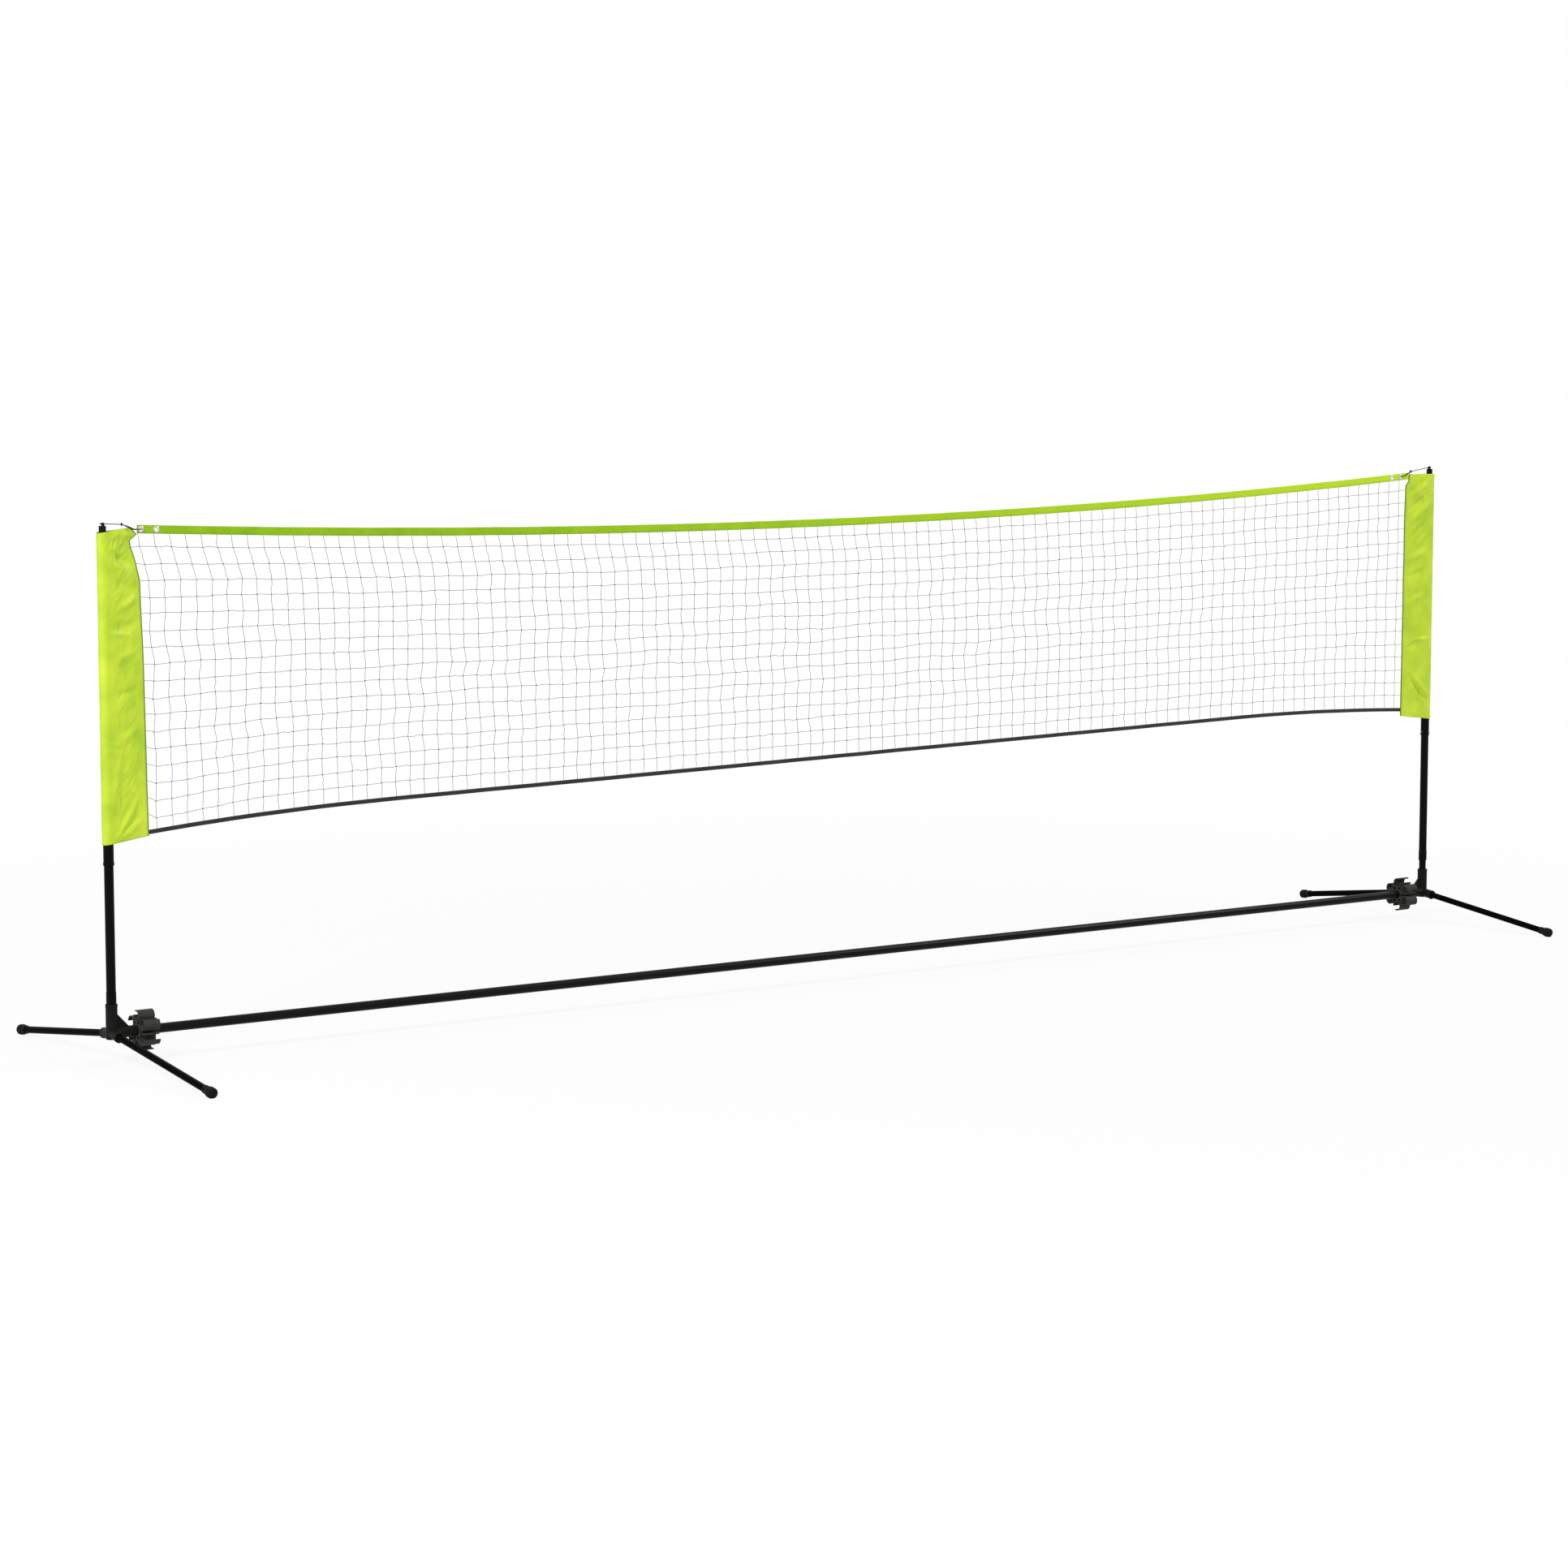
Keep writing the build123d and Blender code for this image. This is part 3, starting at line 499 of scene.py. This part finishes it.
def settle(piece, kind, **options):
    """Put a modifier on a piece and apply it to the mesh."""
    modifier = piece.modifiers.new(kind.lower(), kind)
    for key, value in options.items():
        setattr(modifier, key, value)
    graph = bpy.context.evaluated_depsgraph_get()
    done = bpy.data.meshes.new_from_object(piece.evaluated_get(graph))
    piece.modifiers.remove(modifier)
    done.name = piece.data.name
    piece.data = done


def grow(source, tree, values):
    """Run a geometry node tree on an object with its named inputs set, and return the
    result as a plain mesh object of the same name."""
    modifier = source.modifiers.new("grow", "NODES")
    modifier.node_group = tree
    for item in tree.interface.items_tree:
        if item.item_type == "SOCKET" and item.in_out == "INPUT" and item.name in values:
            modifier[item.identifier] = values[item.name]
    graph = bpy.context.evaluated_depsgraph_get()
    done = bpy.data.meshes.new_from_object(source.evaluated_get(graph))
    name = source.name
    source.name = name + "_path"
    piece = add_object(name, done)
    bpy.data.objects.remove(source)
    return piece


def paths(name, lines):
    """Curve object of straight-run splines, one for each list of points."""
    drawn = bpy.data.curves.new(name, "CURVE")
    drawn.dimensions = "3D"
    for line in lines:
        run = drawn.splines.new("POLY")
        run.points.add(len(line) - 1)
        for point, place in zip(run.points, line):
            point.co = (*place, 1.0)
    return add_object(name, drawn)


def start_tree(name, numbers):
    """New geometry node tree with its input node: a geometry and the named numbers."""
    tree = bpy.data.node_groups.new(name, "GeometryNodeTree")
    tree.interface.new_socket("Geometry", in_out="INPUT", socket_type="NodeSocketGeometry")
    for label, value in numbers.items():
        socket = tree.interface.new_socket(label, in_out="INPUT", socket_type="NodeSocketFloat")
        socket.default_value = value
    tree.interface.new_socket("Geometry", in_out="OUTPUT", socket_type="NodeSocketGeometry")
    return tree, tree.nodes.new("NodeGroupInput")


def tube_tree(name, radius, corners, look):
    """Round cord drawn along the paths, as a tube with the given number of corners."""
    tree, given = start_tree(name, {"Radius": radius})
    ring = add_node(tree, "GeometryNodeCurvePrimitiveCircle", {"Resolution": corners,
                    "Radius": given.outputs["Radius"]})
    tube = add_node(tree, "GeometryNodeCurveToMesh", {"Curve": given.outputs["Geometry"],
                    "Profile Curve": ring.outputs["Curve"], "Fill Caps": True})
    smooth = add_node(tree, "GeometryNodeSetShadeSmooth", {"Geometry": tube.outputs[0]})
    dyed = add_node(tree, "GeometryNodeSetMaterial", {"Geometry": smooth.outputs[0], "Material": look})
    add_node(tree, "NodeGroupOutput", {0: dyed.outputs[0]})
    return tree


stitch_step, stitch_length, thread_thickness = 0.0044, 0.0031, 0.0007


def stitch_tree(name, look):
    """Row of lockstitches: a small bead of thread laid along the path at every step."""
    tree, given = start_tree(name, {"Step": stitch_step, "Length": stitch_length,
                             "Thickness": thread_thickness})
    spots = add_node(tree, "GeometryNodeCurveToPoints", {"Curve": given.outputs["Geometry"],
                     "Length": given.outputs["Step"]}, mode="LENGTH")
    bead = add_node(tree, "GeometryNodeMeshUVSphere", {"Segments": 6, "Rings": 3, "Radius": 0.5})
    size = add_node(tree, "ShaderNodeCombineXYZ", {"X": given.outputs["Thickness"],
                    "Y": given.outputs["Thickness"], "Z": given.outputs["Length"]})
    laid = add_node(tree, "GeometryNodeInstanceOnPoints", {
        "Points": spots.outputs["Points"], "Instance": bead.outputs["Mesh"],
        "Rotation": spots.outputs["Rotation"], "Scale": size.outputs[0]})
    solid = add_node(tree, "GeometryNodeRealizeInstances", {"Geometry": laid.outputs[0]})
    dyed = add_node(tree, "GeometryNodeSetMaterial", {"Geometry": solid.outputs[0], "Material": look})
    add_node(tree, "NodeGroupOutput", {0: dyed.outputs[0]})
    return tree


green_stitches = stitch_tree("green stitches", thread_look)
sleeve_rows, sleeve_columns = 236, 104
sleeve_turn = 0.25          # length of the cloth from edge to edge round the pole
seam_stitch = 0.72          # place of the seam's stitches across its width
stitch_lift = 0.0001
binding_radius = 0.0014
edge_steps, hem_steps = 400, 160
for side in sides:
    body = side + "_pole"

    def cloth_point(i, j):
        return sleeve_surface(side, (j + 0.5) / sleeve_columns, i / (sleeve_rows - 1))

    def cloth_map(i, j):
        return j / sleeve_columns * sleeve_turn, i / (sleeve_rows - 1) * sleeve_height

    sleeve = grid_sheet("sleeve_" + side, sleeve_rows, sleeve_columns, cloth_point, True, sleeve_look,
                        cloth_map)
    settle(sleeve, "SOLIDIFY", thickness=cloth, offset=-1.0)

    # The binding runs down the inner edge, and the stitches show on both faces.
    downs = [i / edge_steps for i in range(edge_steps + 1)]
    edge_line = [(sleeve_surface(side, 0.0, down) + sleeve_surface(side, 1.0, down)) / 2
                 for down in downs]
    binding = grow(paths("sleeve_binding_" + side, [edge_line]),
                   tube_tree("binding_" + side, binding_radius, 8, binding_look), {"Radius": binding_radius})

    seams = []
    seam_around = 0.5 * (seam_width * seam_stitch) / (sleeve_turn / 2)
    for way, around in ((-1, seam_around), (1, 1 - seam_around)):
        raised = Vector((0.0, way * stitch_lift, 0.0))
        seams.append([sleeve_surface(side, around, down) + raised for down in downs[2:-2]])
    for down in (top_hem / sleeve_height, 1 - low_hem / sleeve_height):
        seams.append([sleeve_surface(side, 0.03 + 0.94 * k / hem_steps, down)
                      for k in range(hem_steps + 1)])
    stitches = grow(paths("sleeve_stitches_" + side, seams), green_stitches, {})
    for piece in (sleeve, binding, stitches):
        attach(piece, body)
    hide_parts("pole_sleeve_" + side)

# ---------------------------------------------------------------------------
# Top tape: green nylon strip folded over the net's top edge and sewn through along
# its lower edge with two rows of stitches. It sags in the middle of the span.
# ---------------------------------------------------------------------------
tape_reach = half_span - 0.084
tape_height = 0.019
tape_layer = 0.0006
tape_left, tape_climb, tape_sag = 1.202, 0.062, 0.224
strip_half = 0.0012         # half the thickness of a folded strip
fold_depth, fold_round = 0.0015, 0.0006
net_sway_most = 0.0035
eyelet_out = {"left": (0.093, 0.131), "right": (0.114, 0.148)}
eyelet_zone = 0.162         # part of the tape, from the post axis, drawn finely for its holes
hole_radius, clear_radius = 0.0057, 0.0085


def top_tape(x):
    """Height of the middle of the top tape at a place along the net, in metres."""
    share = (x + tape_reach) / (2 * tape_reach)
    return tape_left + tape_climb * share - tape_sag * share * (1 - share)


def net_sway(x, z):
    """Gentle wave of the tapes and the net out of their plane, in metres."""
    ends = min(1.0, max(0.0, (tape_reach - abs(x)) / 0.25))
    return noise.noise(Vector((x * 2.1, z * 1.7, 40.0))) * net_sway_most * ends


def tape_stations(reach, fine):
    """Places along a tape from end to end, close together where it has eyelets."""
    places, x = [], -reach
    while x < reach - 1e-6:
        places.append(x)
        near_end = half_span - abs(x + 1e-6) < eyelet_zone
        x += 0.002 if fine and near_end else 0.01
    return places + [reach]


def folded_strip(name, places, height_at, height, look):
    """Strip folded over a top edge: up the front, round the fold and down the back."""
    top, shoulder = height / 2, height / 2 - fold_round
    rises = [-top + (height - fold_depth) * k / 9 for k in range(10)]
    fold = [(-strip_half * 0.75, shoulder), (0.0, top), (strip_half * 0.75, shoulder)]
    back = [(strip_half, rise) for rise in reversed(rises)]
    profile = [(-strip_half, rise) for rise in rises] + fold + back

    def strip_point(i, j):
        x, (way, rise) = places[i], profile[j]
        middle = height_at(x)
        ripple = noise.noise(Vector((x * 22.0, rise * 60.0, 9.0 if way < 0 else 27.0))) * 0.0003
        slack = noise.noise(Vector((x * 9.0, 3.0, 11.0))) * 0.0004
        return Vector((x, way + ripple + net_sway(x, middle + rise), middle + rise + slack))

    def strip_map(i, j):
        return places[i], j * height / 10

    return grid_sheet(name, len(places), len(profile), strip_point, False, look, strip_map)


tape_look, tape_tree, tape_skin, tape_place = nylon("green_tape", (0.14, 0.36, 0.002),
                                                    (0.36, 0.60, 0.008), 0.15)
# Painted light: the strip is painted paler and yellower towards its right end, standing in for the stronger
# light that falls there.
plain_dye = tape_skin.inputs["Base Color"].links[0].from_socket
across = add_node(tape_tree, "ShaderNodeSeparateXYZ", {"Vector": tape_place})
fade = add_node(tape_tree, "ShaderNodeMapRange", {"Value": across.outputs["X"], "From Min": -1.4,
                "From Max": 2.0, "To Max": 0.75})
painted_light_tint = add_node(tape_tree, "ShaderNodeMix", {0: fade.outputs[0], 6: plain_dye,
                 7: (0.62, 0.86, 0.02, 1.0)}, data_type="RGBA")
tape_tree.links.new(painted_light_tint.outputs[2], tape_skin.inputs["Base Color"])
tape = folded_strip("top_tape_cloth", tape_stations(tape_reach, True), top_tape, tape_height, tape_look)
punched = bmesh.new()
punched.from_mesh(tape.data)
holes = [sides[side] * (half_span - out) for side in sides for out in eyelet_out[side]]
cut = []
for face in punched.faces:
    middle = face.calc_center_median()
    if any(math.hypot(middle.x - hole, middle.z - top_tape(hole)) < hole_radius for hole in holes):
        cut.append(face)
bmesh.ops.delete(punched, geom=cut, context="FACES")
punched.to_mesh(tape.data)
punched.free()
settle(tape, "SOLIDIFY", thickness=tape_layer, offset=-1.0)


def strip_stitches(name, reach, height_at, rises, skip, tree):
    """Rows of stitches along both faces of a folded strip, clear of the given places."""
    margin, step, proud = 0.004, 0.012, 0.0002
    lines = []
    for rise in rises:
        for way in (-1, 1):
            line = []
            for k in range(int(2 * (reach - margin) / step) + 1):
                x = -reach + margin + step * k
                if all(math.hypot(x - spot, rise) > clear_radius for spot in skip):
                    z = height_at(x) + rise
                    line.append(Vector((x, way * (strip_half + proud) + net_sway(x, z), z)))
                elif len(line) > 1:
                    lines.append(line)
                    line = []
            if len(line) > 1:
                lines.append(line)
    return grow(paths(name, lines), tree, {"Step": stitch_step, "Length": 0.003})


tape_stitches = strip_stitches("top_tape_stitches", tape_reach, top_tape, (-0.0080, -0.0058), holes,
                               green_stitches)
for piece in (tape, tape_stitches):
    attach(piece, "left_pole")
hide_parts("top_tape")

# ---------------------------------------------------------------------------
# Bottom tape: a narrower black strip folded over the net's lowest row and sewn once.
# It dips a little towards each end, where the sleeves pull it down.
# ---------------------------------------------------------------------------
low_reach = 1.9495
low_height = 0.010
low_left, low_climb, low_bow, bow_length = 0.5191, 0.0818, 0.0235, 0.65


def bottom_tape(x):
    """Height of the middle of the bottom tape at a place along the net, in metres."""
    share = (x + tape_reach) / (2 * tape_reach)
    bend = max(0.0, 1 - (tape_reach - abs(x)) / bow_length)
    return low_left + low_climb * share + low_bow * (1 - bend ** 2)


black_look, black_tree, black_skin, _ = finish_of(
    "black_tape", (0.012, 0.012, 0.012), 0.62, (0.008, 0.008, 0.008), (0.022, 0.022, 0.021), 140.0, 0.3)
black_map = add_node(black_tree, "ShaderNodeUVMap", uv_map="cloth").outputs[0]
black_weave = add_node(black_tree, "ShaderNodeTexWave", {"Vector": black_map, "Scale": 420.0},
                       bands_direction="DIAGONAL")
raise_skin(black_tree, black_skin, black_weave.outputs["Fac"], 0.0002, 0.6)
black_thread_look = finish_of("black_thread", (0.03, 0.03, 0.03), 0.6, (0.02, 0.02, 0.02),
                              (0.05, 0.05, 0.05), 700.0)[0]
low_tape = folded_strip("bottom_tape_cloth", tape_stations(low_reach, False), bottom_tape, low_height,
                        black_look)
settle(low_tape, "SOLIDIFY", thickness=tape_layer, offset=-1.0)
low_stitches = strip_stitches("bottom_tape_stitches", low_reach, bottom_tape, (-0.0031,), [],
                              stitch_tree("black stitches", black_thread_look))
for piece in (low_tape, low_stitches):
    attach(piece, "left_pole")
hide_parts("bottom_tape")

# ---------------------------------------------------------------------------
# Net: thin dark twine knotted at every crossing into square meshes. Its rows end on
# the sleeves' bindings and its columns in the tapes, and it hangs a little slack.
# ---------------------------------------------------------------------------
column_count, row_count = 101, 18
usual_reach = 0.09                              # of a sleeve, where a row's end height is read
first_gap = {"left": 0.022, "right": 0.025}     # from each binding to the first column
top_row_out = 0.005                             # that the top row's left end lies further out
strand_radius = 0.00048
knot_size = 0.0030
knot_lean, knot_drop = 0.0016, 0.0013       # most that a knot strays along and down on its own
drift_along, drift_down = 0.009, 0.005      # and together with its neighbours
corner_droop, corner_columns = 0.015, 5.0   # where the sleeve pulls down the lower left corner
row_bow, column_bow = 0.0030, 0.0034
tuck_high, tuck_low = 0.004, 0.003          # that the columns' ends run into the tapes
row_stop = 0.0004                           # that the rows end short of a binding's middle


def net_height(x, row):
    """Height of a row of the net at a place along it. Row 0 is in the top tape."""
    high, low = top_tape(x) - tape_height / 2, bottom_tape(x) + low_height / 2
    share = 0.0 if row == 0 else (row - 0.2) / (row_count - 0.2)
    return high + (low - high) * share


def edge_place(side, row):
    """Where a row of the net is sewn to a sleeve's binding."""
    x = sides[side] * (half_span - usual_reach)
    drop = crown[side] - net_height(x, row)
    out = inner_edge(side, drop)
    x = sides[side] * (half_span - out - row_stop)
    return Vector((x, sway(side, out, drop), crown[side] - drop))


draw = random.Random(11)
lean_in_row = [[draw.uniform(-1, 1) for _ in range(column_count)] for _ in range(row_count + 1)]
drop_in_row = [[draw.uniform(-1, 1) for _ in range(column_count)] for _ in range(row_count + 1)]


def net_knot(column, row):
    """Knot of the net, with the slack that lets each mesh lean and sag."""
    ends = [edge_place(side, max(1, row)).x - sides[side] * first_gap[side] for side in sides]
    if row == 0:
        ends[0] -= top_row_out
    x = ends[0] + (ends[1] - ends[0]) * column / (column_count - 1)
    inside = math.sin(math.pi * row / row_count) ** 0.5 if 0 < row < row_count else 0.0
    wander = noise.noise(Vector((x * 4.0, row * 0.55, 2.0))) * drift_along
    x += inside * (wander + knot_lean * lean_in_row[row][column])
    z = net_height(x, row)
    z += inside * (knot_drop * drop_in_row[row][column]
                   + noise.noise(Vector((x * 6.0, row * 0.7, 20.0))) * drift_down)
    from_left = column / corner_columns
    if row < row_count:
        z -= corner_droop * (row / row_count) ** 2 * math.exp(-from_left * from_left)
    if row == row_count:
        z -= tuck_low
    if row == 0:
        z += tuck_high
    return Vector((x, net_sway(x, z), z))


def slack_run(start, end, seed, bow):
    """Two points between two knots, so that the twine bows instead of running dead straight."""
    bends = []
    for k in (1, 2):
        place = start.lerp(end, k / 3)
        shift = Vector((noise.noise(Vector((seed, k * 3.1, 1.0))), 0.0,
                        noise.noise(Vector((seed, k * 3.1, 8.0)))))
        bends.append(place + shift * bow)
    return bends


crossings = [[net_knot(column, row) for column in range(column_count)] for row in range(row_count + 1)]
row_lines, column_lines = [], []
for row in range(1, row_count):
    stops = [edge_place("left", row)] + crossings[row] + [edge_place("right", row)]
    line = [stops[0]]
    for k in range(len(stops) - 1):
        line += slack_run(stops[k], stops[k + 1], row * 131.7 + k * 1.37, row_bow) + [stops[k + 1]]
    row_lines.append(line)
for column in range(column_count):
    line = [crossings[0][column]]
    for row in range(row_count):
        start, end = crossings[row][column], crossings[row + 1][column]
        line += slack_run(start, end, column * 57.3 + row * 1.71 + 500, column_bow) + [end]
    column_lines.append(line)

twine_look, twine_tree, twine_skin, twine_place = finish_of(
    "net_twine", (0.03, 0.03, 0.031), 0.8, (0.015, 0.015, 0.016), (0.05, 0.05, 0.052), 220.0, 0.12)
twist = add_node(twine_tree, "ShaderNodeTexWave", {"Vector": twine_place, "Scale": 420.0},
                 bands_direction="DIAGONAL")
raise_skin(twine_tree, twine_skin, twist.outputs["Fac"], 0.0001, 0.6)

strand_tree = tube_tree("twine", strand_radius, 5, twine_look)
knot_tree, given = start_tree("net knots", {"Size": knot_size})
lump = add_node(knot_tree, "GeometryNodeMeshIcoSphere", {"Radius": 0.5, "Subdivisions": 1})
spin = add_node(knot_tree, "FunctionNodeRandomValue", {"Min": (0.0, 0.0, 0.0), "Max": (3.0, 3.0, 3.0),
                "Seed": 4}, data_type="FLOAT_VECTOR")
grown = add_node(knot_tree, "FunctionNodeRandomValue", {2: 0.8, 3: 1.25, "Seed": 9})
large = add_node(knot_tree, "ShaderNodeMath", {0: grown.outputs[1], 1: given.outputs["Size"]},
                 operation="MULTIPLY")
shape = add_node(knot_tree, "ShaderNodeCombineXYZ", {"X": large.outputs[0], "Y": large.outputs[0],
                 "Z": given.outputs["Size"]})
tied = add_node(knot_tree, "GeometryNodeInstanceOnPoints", {
    "Points": given.outputs["Geometry"], "Instance": lump.outputs["Mesh"],
    "Rotation": spin.outputs[0], "Scale": shape.outputs[0]})
real = add_node(knot_tree, "GeometryNodeRealizeInstances", {"Geometry": tied.outputs[0]})
soft = add_node(knot_tree, "GeometryNodeSetShadeSmooth", {"Geometry": real.outputs[0]})
knots_done = add_node(knot_tree, "GeometryNodeSetMaterial", {"Geometry": soft.outputs[0],
                      "Material": twine_look})
add_node(knot_tree, "NodeGroupOutput", {0: knots_done.outputs[0]})

spots = make_piece("net_knots", [place for row in crossings[1:row_count] for place in row], [],
                   twine_look)
net_pieces = [
    grow(paths("net_rows", row_lines), strand_tree, {"Radius": strand_radius}),
    grow(paths("net_columns", column_lines), strand_tree, {"Radius": strand_radius}),
    grow(spots, knot_tree, {"Size": knot_size}),
]
for piece in net_pieces:
    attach(piece, "left_pole")
    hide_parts("net")

# ---------------------------------------------------------------------------
# Eyelets: two-part nickelled rings pressed through both layers of the top tape,
# two at each end. Their rims are rolled over and lightly scuffed.
# ---------------------------------------------------------------------------
nickel_look, nickel_tree, nickel_skin, nickel_place = finish_of(
    "nickel", (0.62, 0.60, 0.56), 0.24, (0.50, 0.48, 0.44), (0.72, 0.70, 0.66), 400.0)
nickel_skin.inputs["Metallic"].default_value = 1.0
uneven(nickel_tree, nickel_skin, 0.16, 0.34, 900.0, nickel_place)
scuff = add_node(nickel_tree, "ShaderNodeTexNoise", {"Vector": nickel_place, "Scale": 2200.0})
raise_skin(nickel_tree, nickel_skin, scuff.outputs["Fac"], 0.00003, 0.4)

rolled = [(4.0, -1.7), (4.1, -2.05), (4.5, -2.35), (5.2, -2.42), (6.4, -2.25), (7.2, -1.95),
          (7.55, -1.7), (7.6, -1.5), (7.3, -1.42), (4.8, -1.42)]
ring_profile = rolled + [(radius, -depth) for radius, depth in reversed(rolled)]
ring_steps = 56
for side in sides:
    verts, faces = [], []
    for out in eyelet_out[side]:
        x = sides[side] * (half_span - out)
        faces += grid_faces(ring_steps, len(ring_profile), len(verts))
        for i in range(ring_steps):
            turn = 2 * math.pi * i / ring_steps
            for radius, depth in ring_profile:
                verts.append((x + radius / 1000 * math.cos(turn), depth / 1000,
                              top_tape(x) + radius / 1000 * math.sin(turn)))
    rings = make_piece("eyelet_rings_" + side, verts, faces, nickel_look)
    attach(rings, "left_pole")
    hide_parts("eyelets_" + side)

# ---------------------------------------------------------------------------
# Tie cords: a short braided black cord runs from a stopper knot behind each pole cap's
# nub to a second knot, which a hook's eye holds.
# ---------------------------------------------------------------------------
cord_look, cord_tree, cord_skin, cord_place = finish_of(
    "black_cord", (0.014, 0.014, 0.015), 0.7, (0.008, 0.008, 0.009), (0.03, 0.03, 0.032), 1500.0)
braid = add_node(cord_tree, "ShaderNodeTexWave", {"Vector": cord_place, "Scale": 330.0,
                 "Distortion": 1.5}, bands_direction="DIAGONAL")
raise_skin(cord_tree, cord_skin, braid.outputs["Fac"], 0.0002, 0.7)

cord_thickness = 0.002
nub_middle = 0.0015         # middle of the nub, from the post axis
cord_rise = 0.0182          # height of the cord there, above the sleeve's top
cord_fall = {"left": 0.045, "right": 0.15}      # slope of the cord towards the net
stopper_out = -0.0033
cord_knot = {"left": 0.047, "right": 0.074}     # distance of the second knot
stopper_size, second_size = 0.0023, 0.0028
knotted_radius = 0.00085    # of the cord where it is pulled tight in a knot


def on_cord(side, out):
    """Point on a tie cord at a distance from the post axis, towards the net."""
    height = crown[side] + cord_rise - cord_fall[side] * (out - nub_middle)
    return Vector((sides[side] * (half_span - out), 0.0, height))


def round_wire(name, lines, radius, steps, look):
    """Curve object of round wire along each list of points, the first bending smoothly."""
    wire = paths(name, lines)
    wire.data.bevel_depth = radius
    wire.data.bevel_resolution = 3
    wire.data.use_fill_caps = True
    wire.data.materials.append(look)
    first = wire.data.splines[0]
    first.type = "NURBS"
    first.order_u = 3
    first.use_endpoint_u = True
    first.resolution_u = steps
    return wire


def knot_mesh(middle, along, radius, wire):
    """Overhand knot drawn as a closed trefoil of round cord about a point."""
    turns, around = 60, 8
    askew = Vector((0.31, 0.17, 0.93))
    across = Vector((0.0, 1.0, 0.0))
    up = along.cross(across).normalized()
    line = []
    for i in range(turns):
        t = 2 * math.pi * i / turns
        wide = (2 + math.cos(3 * t)) / 3 * (radius - wire)
        line.append(middle + across * wide * math.cos(2 * t) + up * wide * math.sin(2 * t)
                    + along * math.sin(3 * t) * radius * 0.55)
    verts = []
    for i in range(turns):
        ahead = (line[(i + 1) % turns] - line[i - 1]).normalized()
        side_way = ahead.cross(askew).normalized()
        over = ahead.cross(side_way)
        for j in range(around):
            a = 2 * math.pi * j / around
            verts.append(line[i] + (side_way * math.cos(a) + over * math.sin(a)) * wire)
    return verts, grid_faces(turns, around)


for side in sides:
    body = side + "_pole"
    outs = [stopper_out, 0.006, cord_knot[side] * 0.5, cord_knot[side] - 0.008, cord_knot[side]]
    cord = round_wire("cord_" + side, [[on_cord(side, out) for out in outs]], cord_thickness / 2, 8,
                      cord_look)

    along = (on_cord(side, 0.05) - on_cord(side, 0.0)).normalized()
    verts, faces = [], []
    for out, size in ((stopper_out, stopper_size), (cord_knot[side], second_size)):
        more, loops = knot_mesh(on_cord(side, out), along, size, knotted_radius)
        faces += [[k + len(verts) for k in loop] for loop in loops]
        verts += more
    knots = make_piece("cord_knots_" + side, verts, faces, cord_look)
    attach(cord, body)
    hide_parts("tie_cord_" + side)
    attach(knots, body)
    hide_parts("tie_knots_" + side)

# ---------------------------------------------------------------------------
# Tie hooks: black plastic-coated wire, with an eye round the cord's knot at one end
# and a crook at the other that drops through the tape's first eyelet.
# ---------------------------------------------------------------------------
hook_look = moulded("hook_plastic", (0.010, 0.010, 0.011), (0.022, 0.022, 0.023), 0.34, 0.48, 0.0003)
hook_radius = 0.0013
eye_radius, eye_points, eye_width = 0.0034, 24, 0.6
hook_front, hook_back = -0.0065, 0.005      # of the crook, from the net's plane
bend_lead, crook_lead = 0.0035, 0.020
hook_rise = {"left": 0.0, "right": 0.007}
for side in sides:
    eyelet = eyelet_out[side][0]
    eyelet_x = sides[side] * (half_span - eyelet)
    knot = on_cord(side, cord_knot[side])
    start = Vector((knot.x - sides[side] * 0.003, -0.0012, knot.z - 0.0008))
    eyelet_z = top_tape(eyelet_x)
    over = Vector((sides[side] * (half_span - eyelet + crook_lead), hook_front, eyelet_z + hook_rise[side]))
    turn = Vector((eyelet_x, hook_front, eyelet_z))
    tip = Vector((eyelet_x, hook_back, eyelet_z))
    to_turn = (turn - over).normalized()
    line = [start, start.lerp(over, 0.3), start.lerp(over, 0.7), over, over + to_turn * bend_lead,
            turn - to_turn * bend_lead, turn, turn.lerp(tip, 0.35), tip - Vector((0.0, 0.001, 0.0)), tip]
    widths = (0.75, 1.35, 1.5, 1.3, 1.1, 0.95, 0.9, 0.9, 0.85, 0.3)
    turns = [2 * math.pi * k / eye_points for k in range(eye_points)]
    eye = [knot + Vector((0.0, eye_radius * math.cos(a), eye_radius * math.sin(a))) for a in turns]
    wire = round_wire("hook_" + side, [line, eye], hook_radius, 6, hook_look)
    shank, loop = wire.data.splines
    for point, share in zip(shank.points, widths):
        point.radius = share
    loop.use_cyclic_u = True
    for point in loop.points:
        point.radius = eye_width
    for run in wire.data.splines:
        run.use_smooth = True
    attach(wire, side + "_pole")
    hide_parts("tie_hook_" + side)
